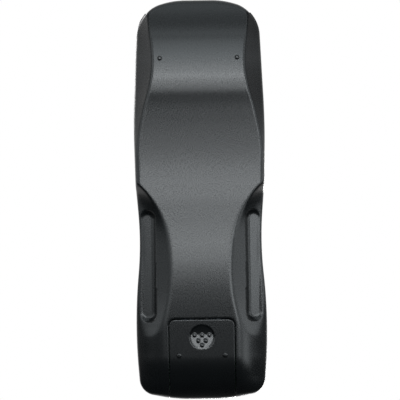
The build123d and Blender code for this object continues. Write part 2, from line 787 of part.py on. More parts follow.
keys = key_plans()
parts = {
    "rear_shell": make_rear_shell(),
    "battery_door": make_door(),
    "front_shell": make_front_shell(keys),
    "ir_window": make_window(),
    "circuit_board": make_board(),
    "keypad_mat": make_mat(),
    "cell_left": make_cell(-1),
    "cell_right": make_cell(1),
    "spring_left": make_spring(-1),
    "spring_right": make_spring(1),
    "contact_bridge": make_bridge(),
    "contact_plate_left": make_plate(-1),
    "contact_plate_right": make_plate(1),
    "case_screws": make_screws(),
    "microcontroller": make_microcontroller(),
    "resonator": make_resonator(),
    "capacitor": make_capacitor(),
    "infrared_leds": make_leds(),
}
for name, place, plan, foot in keys:
    parts[name] = make_key(place, plan, foot)

for name, solid in parts.items():
    export_step(solid, f"parts/{name}.step")
print(len(parts), "nodes written")
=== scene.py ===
# %% [markdown]
# # A hand-held remote control, seen from its back
# The real object is two moulded half shells, a battery door that slides off at the heel, and a pad
# of sprung keys on the far side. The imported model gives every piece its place. It is loaded first
# and stays fixed, and each visible piece is then made finer than the plain solid it stands for.

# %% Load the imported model
import bmesh
import bpy
import math
import numpy as np
from mathutils import Matrix, Vector


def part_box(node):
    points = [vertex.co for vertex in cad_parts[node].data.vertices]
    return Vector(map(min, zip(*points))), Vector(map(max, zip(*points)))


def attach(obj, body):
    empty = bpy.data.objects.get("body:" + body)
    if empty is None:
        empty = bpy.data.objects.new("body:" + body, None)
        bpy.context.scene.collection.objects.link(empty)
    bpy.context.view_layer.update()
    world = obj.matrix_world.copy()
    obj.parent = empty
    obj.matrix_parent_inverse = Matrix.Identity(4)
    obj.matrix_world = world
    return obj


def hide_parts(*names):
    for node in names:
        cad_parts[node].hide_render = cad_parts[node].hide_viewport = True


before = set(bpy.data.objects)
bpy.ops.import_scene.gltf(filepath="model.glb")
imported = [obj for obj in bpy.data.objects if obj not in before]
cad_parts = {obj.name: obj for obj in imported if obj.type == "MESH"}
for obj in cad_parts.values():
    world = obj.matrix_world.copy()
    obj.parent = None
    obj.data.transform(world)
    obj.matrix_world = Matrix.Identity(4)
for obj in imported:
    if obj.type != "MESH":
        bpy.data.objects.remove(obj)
bpy.context.scene.view_settings.view_transform = "Standard"
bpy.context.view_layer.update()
MM = 0.001

# %% [markdown]
# ## Camera
# The remote lies on its back, so a camera that shows the back looks up from underneath. It could
# stand beside the object and be aimed with a constraint, but a plain place and turn is easier to
# read: half a turn about Y points the lens up and keeps the window end at the top of the picture.
# The last fraction of a degree is the slight lean of the object in the frame.

# %% Camera under the remote
camera_distance = 1.50  # metres, as are all places of the camera, the lamps and the floor
outline_height = 0.014  # the level at which the outline is widest
field_of_view = 0.2168  # the width of the picture at that level
frame_shift = (0.0001, -0.0003)
lean = math.radians(-0.76)
sensor_width = 36.0  # millimetres, as is the lens

lens = bpy.data.cameras.new("camera_back")
lens.sensor_width = sensor_width
lens.lens = sensor_width * (camera_distance + outline_height) / field_of_view
camera = bpy.data.objects.new("camera_back", lens)
camera.matrix_world = (Matrix.Translation((*frame_shift, -camera_distance))
                       @ Matrix.Rotation(math.pi, 4, "Y") @ Matrix.Rotation(lean, 4, "Z"))
bpy.context.scene.collection.objects.link(camera)
bpy.context.scene.camera = camera
print("lens", round(lens.lens, 1), "mm")

# %% [markdown]
# ## A helper for shader nodes
# Every material and the world are built from nodes. One function adds a node, sets what is named
# and wires what is linked, so each material below reads as a short list of what feeds what.

# %% Colours and nodes
def srgb(code):
    """A hex colour as the linear values that Blender's sockets take, with a full alpha."""
    channels = [int(code[i:i + 2], 16) / 255 for i in (1, 3, 5)]
    return [c / 12.92 if c <= 0.04045 else ((c + 0.055) / 1.055) ** 2.4 for c in channels] + [1.0]


def add_node(tree, kind, settings=None, **sockets):
    """Adds a node. Settings are its properties. Each socket takes a value or another node's output.
    A socket goes by its name, or by its number after an i where names repeat."""
    node = tree.nodes.new(kind)
    for name, value in (settings or {}).items():
        setattr(node, name, value)
    for name, value in sockets.items():
        key = int(name[1:]) if name[0] == "i" and name[1:].isdigit() else name.replace("_", " ")
        if isinstance(value, bpy.types.NodeSocket):
            tree.links.new(value, node.inputs[key])
        else:
            node.inputs[key].default_value = value
    return node


# %% [markdown]
# ## Light
# Product pictures of dark plastic are lit by softboxes, because a satin surface shows the light's
# own shape: bright where it mirrors a box, near black where it mirrors the dark room. Two narrow
# boxes stand under the window end, and behind them weaker ones reach far out, so that the swell of
# the back glows and the slope at the heel stays dark. Boxes past that end and its corners light
# the rim. Panels on an arc along each side light the hollows and grips, brighter on the right than
# on the left. Two lamps above light the side with the keys when the part is turned over.

# %% Lamps
def add_panel(name, place, aim, size, radiance, colour="#FFFFFF"):
    """A rectangular studio light: its place and what it points at in metres, its size and how
    bright its face is. A lamp's watts are that brightness times its area and pi."""
    lamp = bpy.data.lights.new(name, "AREA")
    lamp.shape, lamp.size, lamp.size_y = "RECTANGLE", size[0], size[1]
    lamp.energy = radiance * size[0] * size[1] * math.pi
    lamp.color = srgb(colour)[:3]
    panel = bpy.data.objects.new(name, lamp)
    facing = (Vector(aim) - Vector(place)).to_track_quat("-Z", "Y").to_matrix().to_4x4()
    panel.matrix_world = Matrix.Translation(place) @ facing
    panel.visible_camera = False
    bpy.context.scene.collection.objects.link(panel)
    print(name, round(lamp.energy, 2), "W")


row_level = -0.72
strip_white, row_white, side_white = "#F7FCFF", "#F0FAFF", "#F4FBFF"
add_panel("softbox_strip_low", (0.0, 0.070, row_level), (0.0, 0.070, 0.0), (0.40, 0.05), 8.1, strip_white)
add_panel("softbox_strip_high", (0.0, 0.120, row_level), (0.0, 0.120, 0.0), (0.40, 0.05), 12.7, strip_white)
add_panel("softbox_row", (0.0, 0.270, row_level), (0.0, 0.270, 0.0), (0.40, 0.15), 3.4, row_white)
add_panel("softbox_row_far", (0.0, 0.480, row_level), (0.0, 0.480, 0.0), (0.40, 0.27), 2.3, row_white)
add_panel("softbox_end", (0.0, 0.53, -0.28), (0.0, 0.0, 0.0), (0.5, 0.18), 1.1, row_white)
add_panel("softbox_end_high", (0.0, 0.60, -0.02), (0.0, 0.0, 0.0), (0.6, 0.32), 0.8, row_white)
add_panel("softbox_corner_right", (-0.40, 0.32, -0.446), (0.0, 0.32, 0.0), (0.48, 0.42), 1.3, side_white)
add_panel("softbox_corner_left", (0.40, 0.32, -0.446), (0.0, 0.32, 0.0), (0.48, 0.42), 1.1, side_white)

# Each side panel: degrees round the arc from straight below, place along Y, length, brightness
arc_radius, panel_width = 0.6, 0.169
side_panels = {
    "right": [(24, 0.0, 0.18, 4.5), (40, -0.09, 0.36, 1.05), (56, -0.18, 0.18, 1.9), (56, 0.0, 0.18, 1.0),
              (72, 0.0, 0.18, 1.8), (72, 0.2, 0.18, 1.6), (90, 0.05, 0.6, 0.75)],
    "left": [(24, 0.0, 0.18, 1.6), (40, 0.0, 0.18, 0.8), (56, 0.0, 0.18, 0.5), (56, 0.2, 0.18, 1.0),
             (72, 0.0, 0.18, 0.7), (72, 0.2, 0.18, 1.5), (90, 0.05, 0.6, 0.75)],
}
for side, way in (("right", -1), ("left", 1)):
    for angle, y, length, radiance in side_panels[side]:
        turn = math.radians(angle)
        place = (way * arc_radius * math.sin(turn), y, -arc_radius * math.cos(turn))
        add_panel(f"panel_{side}_{angle}_{round(y * 100)}", place, (0.0, y, 0.0), (panel_width, length),
                  radiance, side_white)

add_panel("softbox_above", (-0.30, -0.30, 0.95), (0.0, 0.0, 0.0), (0.5, 0.5), 16.0)
add_panel("panel_above", (0.6, 0.35, 0.6), (0.0, 0.0, 0.0), (0.4, 0.4), 9.9)

# %% [markdown]
# ## The white surroundings
# The camera sees plain white all round. Mirrors, metal and clear plastic see it too, but only in
# directions well above the floor, because a back of black plastic that mirrored white from below
# would turn grey all over and lose its form. To all else the room is a weak fill from above.
# The height of a direction is its Z, from -1 straight down to 1 straight up.

# %% World
room_level, room_full_height = 0.4, 0.45
paper_start_height, paper_full_height = 0.45, 0.85

world = bpy.data.worlds.new("studio")
bpy.context.scene.world = world
world.use_nodes = True
sky = world.node_tree
sky.nodes.clear()
direction = add_node(sky, "ShaderNodeTexCoord").outputs["Generated"]
height = add_node(sky, "ShaderNodeSeparateXYZ", Vector=direction).outputs["Z"]
fill_level = add_node(sky, "ShaderNodeMapRange", From_Min=0.0, From_Max=room_full_height, To_Min=0.0,
                      To_Max=room_level, Value=height).outputs["Result"]
room = add_node(sky, "ShaderNodeBackground", Color=srgb("#FFFFFF"), Strength=fill_level)
paper = add_node(sky, "ShaderNodeBackground", Color=srgb("#FFFFFF"), Strength=1.0)
ray = add_node(sky, "ShaderNodeLightPath").outputs
mirrored = add_node(sky, "ShaderNodeMath", {"operation": "MAXIMUM"}, i0=ray["Is Glossy Ray"],
                    i1=ray["Is Transmission Ray"]).outputs[0]
upward = add_node(sky, "ShaderNodeMapRange", From_Min=paper_start_height, From_Max=paper_full_height,
                  Value=height).outputs["Result"]
mirrored = add_node(sky, "ShaderNodeMath", {"operation": "MULTIPLY"}, i0=mirrored, i1=upward).outputs[0]
seen = add_node(sky, "ShaderNodeMath", {"operation": "MAXIMUM"}, i0=ray["Is Camera Ray"],
                i1=mirrored).outputs[0]
chosen = add_node(sky, "ShaderNodeMixShader", i0=seen, i1=room.outputs[0], i2=paper.outputs[0])
add_node(sky, "ShaderNodeOutputWorld", Surface=chosen.outputs[0])
print("world nodes", len(sky.nodes))

# %% [markdown]
# ## The floor
# The remote rests on the tips of four small nubs, and the floor is the sheet it lies on. The
# camera looks up through that sheet, so it shows only from above: its back face is transparent,
# and it takes part in no shadow or reflection.

# %% Floor sheet
def new_finish(name):
    """A material whose node tree is still empty, and that tree."""
    material = bpy.data.materials.new(name)
    material.use_nodes = True
    material.node_tree.nodes.clear()
    return material, material.node_tree


sheet_reach = 3.0
floor_mesh = bpy.data.meshes.new("floor_sheet")
sheet = bmesh.new()
bmesh.ops.create_grid(sheet, x_segments=1, y_segments=1, size=sheet_reach)
sheet.to_mesh(floor_mesh)
sheet.free()
floor = bpy.data.objects.new("floor_sheet", floor_mesh)
bpy.context.scene.collection.objects.link(floor)
for ray_kind in ("visible_diffuse", "visible_glossy", "visible_transmission", "visible_shadow"):
    setattr(floor, ray_kind, False)

paper_finish, tree = new_finish("paper_sheet_matt")
matt = add_node(tree, "ShaderNodeBsdfDiffuse", Color=srgb("#F4F4F4"))
clear = add_node(tree, "ShaderNodeBsdfTransparent")
below = add_node(tree, "ShaderNodeNewGeometry").outputs["Backfacing"]
both = add_node(tree, "ShaderNodeMixShader", i0=below, i1=matt.outputs[0], i2=clear.outputs[0])
add_node(tree, "ShaderNodeOutputMaterial", Surface=both.outputs[0])
floor_mesh.materials.append(paper_finish)
print("floor", [round(v, 2) for v in floor.dimensions])

# %% [markdown]
# ## The form of the back
# The rear half was cut by its mould makers from a few plain curves: one outline, one side
# profile, and creases where hollows start. A subdivision cage could follow that, but its creases
# would wander. Here each curve is kept as a short table in millimetres, and a fine grid is later
# moved onto the height that they give, so the skin and the door fit each other exactly.

# %% Curves of the housing, in millimetres
half_length = 108.0
# The outline's corners: x, y and the radius that rounds them
outline_corners = [
    (13.1, 108.0, 42.0), (24.8, 104.5, 16.3), (33.2, 94.4, 17.4), (35.5, 43.2, 460.0), (34.8, 8.3, 128.0),
    (32.2, -23.0, 185.0), (36.4, -66.7, 285.0), (33.5, -103.9, 9.0), (14.8, -108.0, 80.0),
]
# The side profile's corners: y, z and the radius that rounds them
back_corners = [
    (97.4, 6.3, 95.0), (77.5, 0.05, 58.0), (58.0, 1.0, 60.0), (13.0, 5.6, 393.0),
    (-47.0, 0.6, 380.0), (-90.0, 0.6, 28.0), (-103.3, 6.3, 32.0),
]
back_ends = ((112.0, 13.7), (-112.0, 16.8))


def rounded_path(corners, start, end, step=0.25):
    """Points about a step apart along a line whose corners are rounded by their radii."""
    spots, places = [np.array(start)], [start] + [c[:2] for c in corners] + [end]
    for before, (x, y, radius), after in zip(places, corners, places[2:]):
        corner = np.array((x, y))
        into, out = corner - before, np.array(after) - corner
        into, out = into / np.hypot(*into), out / np.hypot(*out)
        turn = math.atan2(into[0] * out[1] - into[1] * out[0], into @ out)
        first = corner - into * radius * math.tan(abs(turn) / 2)
        centre = first + np.array((-into[1], into[0])) * radius * math.copysign(1, turn)
        count = max(3, int(radius * abs(turn) / step))
        for angle in np.linspace(0, turn, count):
            c, s = math.cos(angle), math.sin(angle)
            arm = first - centre
            spots.append(centre + (arm[0] * c - arm[1] * s, arm[0] * s + arm[1] * c))
    return np.array(spots + [np.array(end)])


outline = rounded_path(outline_corners, (0.0, half_length), (0.0, -half_length))
back_line = rounded_path(back_corners, *back_ends)[::-1]
print("outline points", len(outline), "widest", round(outline[:, 0].max(), 2))

# %% [markdown]
# ## Creases and hollows
# Four things are cut from that plain back: a steep hollow beside the upper band, the long slope
# of each grip, the round flank beside the door, and a finger groove. Each crease is a table along
# the body of how far from the middle it runs. A cubic through the table keeps the reflections
# smooth, where straight runs between the same points would show as facets in the gloss.

# %% Tables of the creases
upper_crease = [(112, 27.4), (100, 27.0), (91, 26.2), (82, 25.1), (74, 24.8), (66.5, 25.4), (59, 26.9),
                (51, 29.2), (43, 31.1), (35, 32.7), (26, 33.9), (15, 35.9)]
grip_crease = [(13, 36.2), (8.5, 33.2), (4, 29.0), (-1.3, 25.2), (-6.5, 22.2), (-13, 19.5), (-20, 17.7),
               (-30, 16.5), (-42, 16.3), (-52, 17.2), (-60, 18.8), (-66, 20.3), (-70, 21.5), (-73, 23.2),
               (-75.2, 25.8), (-76.8, 29.8), (-77.6, 36.0)]
# How far the flank beside the door has risen at the housing's side
heel_rise = [(-48, 12.5), (-60, 13.0), (-75, 13.2), (-86, 13.2), (-94, 12.0), (-101, 9.0), (-112, 5.0)]


def along(table, y):
    """A smooth curve through a table of (y, value). Outside the table it keeps its end values."""
    ys, values = np.array(table[::-1], float).T
    slopes = np.gradient(values, ys)
    i = np.clip(np.searchsorted(ys, y) - 1, 0, len(ys) - 2)
    span = ys[i + 1] - ys[i]
    t = np.clip((y - ys[i]) / span, 0, 1)
    return ((2 * t**3 - 3 * t**2 + 1) * values[i] + (t**3 - 2 * t**2 + t) * span * slopes[i]
            + (3 * t**2 - 2 * t**3) * values[i + 1] + (t**3 - t**2) * span * slopes[i + 1])


# Where the real back reads a little fuller or flatter than its few arcs
back_trim = [(112, 0.0), (104, 0.0), (97, 0.27), (84, 0.6), (77, 0.65), (71, 0.6), (65, 0.31), (61, 0.25),
             (58, 0.26), (52, 0.29), (45, 0.15), (39, 0.01), (32, -0.16), (26, -0.3), (19, -0.48),
             (13, -0.66), (6, -0.86), (0, -0.97), (-7, -0.97), (-13, -0.91), (-20, -0.81), (-26, -0.7),
             (-33, -0.55), (-39, -0.42), (-46, -0.28), (-53, -0.14), (-59, -0.05), (-66, 0.0),
             (-75, 0.13), (-82, 0.22), (-88, 0.3), (-95, 0.29), (-101, 0.1), (-112, 0.0)]


def back_height(y):
    """Height of the back on its centre line."""
    return np.interp(y, back_line[:, 0], back_line[:, 1]) + along(back_trim, y)


def hollowed(x, low_x, low_z, high_x, high_z, hollow):
    """Height of a line across the flank that sags into the body between its ends by half the hollow."""
    t = (x - low_x) / (high_x - low_x)
    lift = hollow * np.hypot(high_x - low_x, high_z - low_z) / (high_x - low_x)
    return low_z + (high_z - low_z) * t + 2 * np.clip(t, 0, 1) * (1 - np.clip(t, 0, 1)) * lift


print("grip crease nearest the middle at x", min(x for _, x in grip_crease), "mm")

# %% [markdown]
# ## Slopes beside the band and along the grips
# Each slope starts a little inside its crease and is aimed at a line past the outline, and the
# sag between the two makes it hollow or round. Where a slope has no part in the form it is put far
# below the back, so that the union of all forms can be taken everywhere.

# %% Slopes of the flanks
slope_overlap, slope_reach, shortest_slope = 2, 40.0, 0.3
upper_start, upper_slope, upper_sag = 15, 1.2, 0.5
grip_start, grip_end, grip_steepest, grip_sag = 13, -78, 1.3, 0.15
grip_edge_x, grip_edge_z, grip_edge_drop = 34.7, 11.3, 1.2
grip_drop_start, grip_drop_length = -30, 40
heel_start, heel_foot_x, heel_foot_drop, heel_edge_x, heel_sag = -48, 17.4, 0.3, 37.0, -4.5
out_of_the_way = 60.0


def slope_from(x, z, crease, slope, sag):
    """Height of a slope that rises outwards from a crease in the back."""
    return hollowed(x, crease - slope_overlap, z - slope_overlap * slope, slope_reach,
                    z + slope * (slope_reach - crease), sag)


def upper_flank(x, y):
    """Height of the hollow beside the upper band."""
    z, crease = back_height(y), along(upper_crease, y)
    return np.where(y > upper_start, slope_from(x, z, crease, upper_slope, upper_sag), z - out_of_the_way)


def grip_flank(x, y):
    """Height of the long slope of the grip, whose outer edge runs nearly level."""
    z, crease = back_height(y), along(grip_crease, y)
    outer = grip_edge_z - grip_edge_drop * np.clip((grip_drop_start - y) / grip_drop_length, 0, 1)
    slope = np.minimum((outer - z) / np.maximum(grip_edge_x - crease, shortest_slope), grip_steepest)
    height = slope_from(x, z, crease, slope, grip_sag)
    return np.where((y < grip_start) & (y > grip_end), height, z - out_of_the_way)


def heel_flank(x, y):
    """Height of the round flank beside the battery door."""
    z = back_height(y)
    height = hollowed(x, heel_foot_x, z - heel_foot_drop, heel_edge_x, z + along(heel_rise, y), heel_sag)
    return np.where(y < heel_start, height, z - out_of_the_way)


print("grips from y", grip_start, "to", grip_end, "mm")

# %% [markdown]
# ## Finger groove and rim
# The mould opens straight down, so the finger groove has a floor that faces down and walls that
# fall away to it, like a slot with round ends. It is cut into the slope of the grip: deep on the
# inner side, and running out where the slope passes it. The rim is a rounding of the edge towards
# the side wall, and it follows the distance from the outline. Where two forms meet, a small
# rounding joins them, because a mould has no perfectly sharp edge and the light catches it there.

# %% Groove, rim and their union
groove_x, groove_half_width = 28.9, 4.6
groove_ends = (-10.2, -61.0)
groove_floor = (9.5, 9.2)
groove_tilt, groove_twist = 0.15, 0.06
groove_fillet, groove_fillet_share, groove_wall = 2.5, 0.985, 1.3


def groove_form(x, y):
    """Height of the slot that makes the groove."""
    t = np.clip((y - groove_ends[0]) / (groove_ends[1] - groove_ends[0]), 0, 1)
    away = np.hypot(x - groove_x, y - (groove_ends[0] + t * (groove_ends[1] - groove_ends[0])))
    floor_height = (groove_floor[0] + t * (groove_floor[1] - groove_floor[0])
                    + (groove_tilt + groove_twist * t) * (x - groove_x))
    climb = np.clip(away - groove_half_width + groove_fillet, 0, groove_fillet * groove_fillet_share)
    height = floor_height - (groove_fillet - np.sqrt(groove_fillet**2 - climb**2)) * groove_wall
    return np.where(away < groove_half_width, height, back_height(y) - out_of_the_way)


def edge_distance(x, y):
    """How far inside the outline a point lies."""
    starts, runs = outline[:-1], np.diff(outline, axis=0)
    nearest = np.full(x.shape, 1e9)
    for start, run in zip(starts, runs):
        t = np.clip(((x - start[0]) * run[0] + (y - start[1]) * run[1]) / (run @ run + 1e-12), 0, 1)
        nearest = np.minimum(nearest, np.hypot(x - start[0] - t * run[0], y - start[1] - t * run[1]))
    return nearest


def union(first, second, blend):
    """The higher of two forms, with their crease rounded."""
    near = np.maximum(blend - np.abs(first - second), 0) / blend
    return np.maximum(first, second) + near**2 * blend / 4


def rounding(distance, radius):
    """How much a rounded edge of this radius has dropped away at a distance from its foot."""
    inside = np.clip(radius - distance, 0, radius)
    return radius - np.sqrt(radius**2 - inside**2)


rim_radius, edge_radius, edge_share, skin_top = 3.0, 0.9, 0.5, 13.9
forms_and_blends = ((upper_flank, 0.9), (grip_flank, 0.9), (heel_flank, 0.6), (groove_form, 1.0))


def skin_height(x, y):
    """Height of the finished back over a point of the plan."""
    x = np.abs(x)
    rim = edge_distance(x, y)
    steepness = np.abs(back_height(y + 0.5) - back_height(y - 0.5))
    radius = rim_radius * np.tan((math.pi / 2 - np.arctan(steepness)) / 2)
    height = back_height(y) + rounding(rim, radius)
    for form, blend in forms_and_blends:
        height = union(height, form(x, y), blend)
    return np.minimum(height + rounding(rim, edge_radius) * edge_share, skin_top)


print("groove from y", groove_ends[0], "to", groove_ends[1], "mm")

# %% [markdown]
# ## The plastic of the shells
# The housing is moulded ABS, pigmented nearly black, from a mould whose surface was finely
# etched. The etching gives it two things to the eye: highlights that spread widely but keep a
# soft shape, and a fine grain inside them. A roughness near 0.27 spreads the highlight, and noise
# drives a low bump. The real grain of about 0.15 mm is too fine for a picture of the whole object,
# so it is drawn at 0.4 mm.

# %% Moulded plastic
def moulded_plastic(name, colour, roughness, grain_mm=0.4, grain_height_mm=0.0003):
    """ABS from an etched mould: dark body colour, wide highlights and a fine grain in them."""
    material, tree = new_finish(name)
    place = add_node(tree, "ShaderNodeTexCoord").outputs["Object"]
    grain = add_node(tree, "ShaderNodeTexNoise", Vector=place, Scale=1 / (grain_mm * MM), Detail=2.0,
                     Roughness=0.6).outputs["Fac"]
    cloud_mm, cloud_strength, gloss_spread = 14, 0.12, 0.03
    cloud = add_node(tree, "ShaderNodeTexNoise", Vector=place, Scale=1 / (cloud_mm * MM), Detail=3.0,
                     Roughness=0.55).outputs["Fac"]
    shade = add_node(tree, "ShaderNodeMapRange", Value=cloud, From_Min=0.3, From_Max=0.7, To_Min=0.4,
                     To_Max=1.6).outputs[0]
    tint = add_node(tree, "ShaderNodeMix", {"data_type": "RGBA", "blend_type": "MULTIPLY"},
                    Factor=cloud_strength, i6=srgb(colour), i7=shade).outputs[2]
    gloss = add_node(tree, "ShaderNodeMapRange", Value=grain, From_Min=0.2, From_Max=0.8,
                     To_Min=roughness - gloss_spread, To_Max=roughness + gloss_spread).outputs[0]
    bump = add_node(tree, "ShaderNodeBump", Height=grain, Strength=1.0,
                    Distance=grain_height_mm * MM).outputs[0]
    shader = add_node(tree, "ShaderNodeBsdfPrincipled", Base_Color=tint, Roughness=gloss, IOR=1.54,
                      Normal=bump)
    add_node(tree, "ShaderNodeOutputMaterial", Surface=shader.outputs[0])
    return material


shell_finish = moulded_plastic("abs_moulded_etched", "#121415", 0.27)
door_finish = moulded_plastic("abs_moulded_etched_door", "#111314", 0.27)
inner_finish = moulded_plastic("abs_moulded_plain_inside", "#1C1E1F", 0.5, grain_mm=1.2, grain_height_mm=0.01)
print("plastics", shell_finish.name, door_finish.name, inner_finish.name)

# %% [markdown]
# ## Turning a form into a piece
# Most pieces are worked as a bmesh in millimetres, the unit of the real drawings, and one function
# turns each into an object in metres. Modifiers on plain objects could do much of this, but in a
# bmesh each step can pick its edges from the result of the last one. A few small helpers do what
# most mouldings need: they round edges, as a mould does, and find the edges to be rounded.

# %% Helpers for pieces
touching = 0.01  # millimetres within which two places count as one


def finish_piece(name, mesh_edit, body, node, material, smooth=True):
    """Turns a bmesh in millimetres into an object in metres that rides on a body and stands for a
    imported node."""
    bmesh.ops.scale(mesh_edit, vec=(MM, MM, MM), verts=mesh_edit.verts)
    mesh = bpy.data.meshes.new(name)
    mesh_edit.to_mesh(mesh)
    mesh_edit.free()
    mesh.shade_smooth() if smooth else mesh.shade_flat()
    piece = bpy.data.objects.new(name, mesh)
    bpy.context.scene.collection.objects.link(piece)
    mesh.materials.append(material)
    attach(piece, body)
    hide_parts(node)
    return piece


def round_edges(mesh_edit, edges, radius, segments, clamp=True):
    """Bevels edges round. A clamped bevel stops where it would run into its neighbours."""
    bmesh.ops.bevel(mesh_edit, geom=edges, offset=radius, offset_type="OFFSET", affect="EDGES",
                    segments=segments, profile=0.5, material=-1, clamp_overlap=clamp)


def level_with(edge, z):
    """Whether both ends of an edge lie at a height."""
    return all(abs(vert.co.z - z) < touching for vert in edge.verts)


def edges_between(mesh_edit, verts):
    """The edges that join some vertices to each other."""
    own = set(verts)
    return [e for e in mesh_edit.edges if e.verts[0] in own and e.verts[1] in own]


# %% [markdown]
# ## A grid laid on the form
# The skins of the back start as a flat grid from one operator. Its columns and rows are slid so
# that they end on the outline and run along the edges of the door, also round its corners, and
# then each vertex is lifted to the height of the form. A list of faces written by hand would do
# the same, but the grid keeps its neighbours in order, and the other operators can thicken and
# cut it.

# %% Grid on the form
# The last rows, where the rows begin to bend towards the round ends, and the middle of the
# door's corner arc with the way over which the arc fades out
top_row, heel_row = 100.0, -102.0
top_bend_start, heel_bend_start = 60, -66
corner_middle, corner_fade = (14.15, -68.0), 4.0


def half_width(y):
    """Half width of the outline between its two round ends."""
    side = outline[(outline[:, 1] < top_row + 1) & (outline[:, 1] > heel_row - 1)][::-1]
    return np.interp(y, side[:, 1], side[:, 0])


top_corner, heel_corner = float(half_width(top_row)), float(half_width(heel_row))


def end_curve(share):
    """How far the outline's two ends bulge past the end rows, at a share of the half width."""
    top = outline[outline[:, 1] > top_row - 1]
    heel = outline[outline[:, 1] < heel_row + 1][::-1]
    return (np.interp(share * top_corner, top[:, 0], top[:, 1]) - top_row,
            np.interp(share * heel_corner, heel[:, 0], heel[:, 1]) - heel_row)


def slide_plan(x, y):
    """Bends straight rows so that the last ones follow the round ends."""
    top, heel = end_curve(np.abs(x) / half_width(y))
    return (y + np.clip((y - top_bend_start) / (top_row - top_bend_start), 0, 1) * top
            + np.clip((heel_bend_start - y) / (heel_bend_start - heel_row), 0, 1) * heel)


def draw_in_corner(x, y, radius):
    """Draws a square corner of the grid in to an arc, fading out over a few millimetres."""
    right, up = np.abs(x) - corner_middle[0], y - corner_middle[1]
    square = np.maximum(right, up)
    share = square / np.maximum(np.hypot(right, up), 1e-6)
    fade = np.where(square > radius, np.clip((radius + corner_fade - square) / corner_fade, 0, 1),
                    np.clip(square / radius, 0, 1)**2)
    fade = np.where((right > 0) & (up > 0), fade, 0.0)
    scale = 1 + (share - 1) * fade
    return (np.where(right > 0, np.sign(x) * (corner_middle[0] + right * scale), x),
            np.where(up > 0, corner_middle[1] + up * scale, y))


def lift_grid(mesh_edit, columns, rows, corner_radius):
    """Moves the vertices of a unit grid to the form, and gives each one's column and row. Columns
    are the places across at a y."""
    count_x, count_y = len(columns(0.0)) - 1, len(rows) - 1
    spots = np.array([v.co[:2] for v in mesh_edit.verts])
    i = np.rint((spots[:, 0] + 1) / 2 * count_x).astype(int)
    j = np.rint((spots[:, 1] + 1) / 2 * count_y).astype(int)
    x = np.array([columns(y) for y in rows])[j, i]
    x, y = draw_in_corner(x, slide_plan(x, rows[j]), corner_radius)
    for vert, place in zip(mesh_edit.verts, np.stack([x, y, skin_height(x, y)], axis=1)):
        vert.co = place
    return i, j


def face_down(mesh_edit):
    """Makes all faces of a cup that opens upwards point outwards."""
    bmesh.ops.recalc_face_normals(mesh_edit, faces=mesh_edit.faces)
    mesh_edit.faces.ensure_lookup_table()
    lowest = min(mesh_edit.faces, key=lambda f: f.calc_center_median().z)
    if lowest.normal.z > 0:
        bmesh.ops.reverse_faces(mesh_edit, faces=mesh_edit.faces)


print("rows end at", round(top_corner, 2), "and", round(heel_corner, 2), "mm from the middle")

# %% [markdown]
# ## Skin of the rear housing
# This half shell is moulded in one piece, about 1.5 mm thick, with an opening for the battery door.
# The skin's columns are spaced in bands, so that two of them run exactly along the sides of the
# opening. Its round corners are made by drawing the grid's square corner in to an arc, which
# leaves clean quads where a boolean cut would leave slivers that shade badly.

# %% Skin of the rear housing
opening_half, opening_top, opening_corner = 17.95, -64.2, 3.8
outer_columns, opening_columns, opening_rows, upper_rows = 35, 49, 51, 261


def shell_columns(y):
    """Places across for one row, even outside the opening and even within it."""
    outer = np.linspace(opening_half, float(half_width(y)), outer_columns)
    inner = np.linspace(-opening_half, opening_half, opening_columns)
    return np.concatenate([-outer[:0:-1], inner, outer[1:]])


shell_rows = np.concatenate([np.linspace(heel_row, opening_top, opening_rows),
                             np.linspace(opening_top, top_row, upper_rows)[1:]])
skin = bmesh.new()
bmesh.ops.create_grid(skin, x_segments=len(shell_columns(0.0)) - 1, y_segments=len(shell_rows) - 1, size=1)
column, row = lift_grid(skin, shell_columns, shell_rows, opening_corner)
first_column = outer_columns - 1
last_column = first_column + opening_columns - 1
doomed = [f for f in skin.faces if all(first_column <= column[v.index] <= last_column
                                       and row[v.index] < opening_rows for v in f.verts)]
print("skin", len(skin.verts), "vertices, lowest", round(min(v.co.z for v in skin.verts), 2), "mm")

# %% [markdown]
# ## Side wall and door opening
# The side wall rises from the skin's edge to the parting line, so the grid's open edge is pulled
# straight up. The door's opening is then cut from the skin and from the wall at the heel by
# deleting whole faces. The edge round it is turned in a little, as a mould rounds it, and last the
# surface is given the thickness of the wall.

# %% Side wall and door opening
parting_height, wall_thickness, edge_turn_in, heel_wall_y = 14.0, 1.5, 0.22, -100
wall_edit = bmesh.ops.extrude_edge_only(skin, edges=[e for e in skin.edges if e.is_boundary])
wall_top = [g for g in wall_edit["geom"] if isinstance(g, bmesh.types.BMVert)]
for vert in wall_top:
    vert.co.z = parting_height

wall_faces = {f for v in wall_top for f in v.link_faces}
doomed += [f for f in wall_faces
           if all(abs(v.co.x) < opening_half + touching and v.co.y < heel_wall_y for v in f.verts)]
bmesh.ops.delete(skin, geom=doomed, context="FACES")
mouth = {v for e in skin.edges if e.is_boundary for v in e.verts if v.co.z < parting_height - touching}
for vert in mouth:
    vert.co.z += edge_turn_in
face_down(skin)
bmesh.ops.solidify(skin, geom=skin.faces[:], thickness=wall_thickness)
print("opening edge vertices", len(mouth), "faces", len(skin.faces))

# %% [markdown]
# ## Rest nubs
# The housing stands on small round pins with domed tips, two beside the upper hollows and two on
# the door. A pin is a cone with two equal radii, and a wide bevel round its lower end makes the
# dome. With two pins added the rear housing is whole and rides on the body of the housing.

# %% Rest nubs
nub_root, nub_dome, nub_place = 1.4, 0.9, (20.8, 76.2)


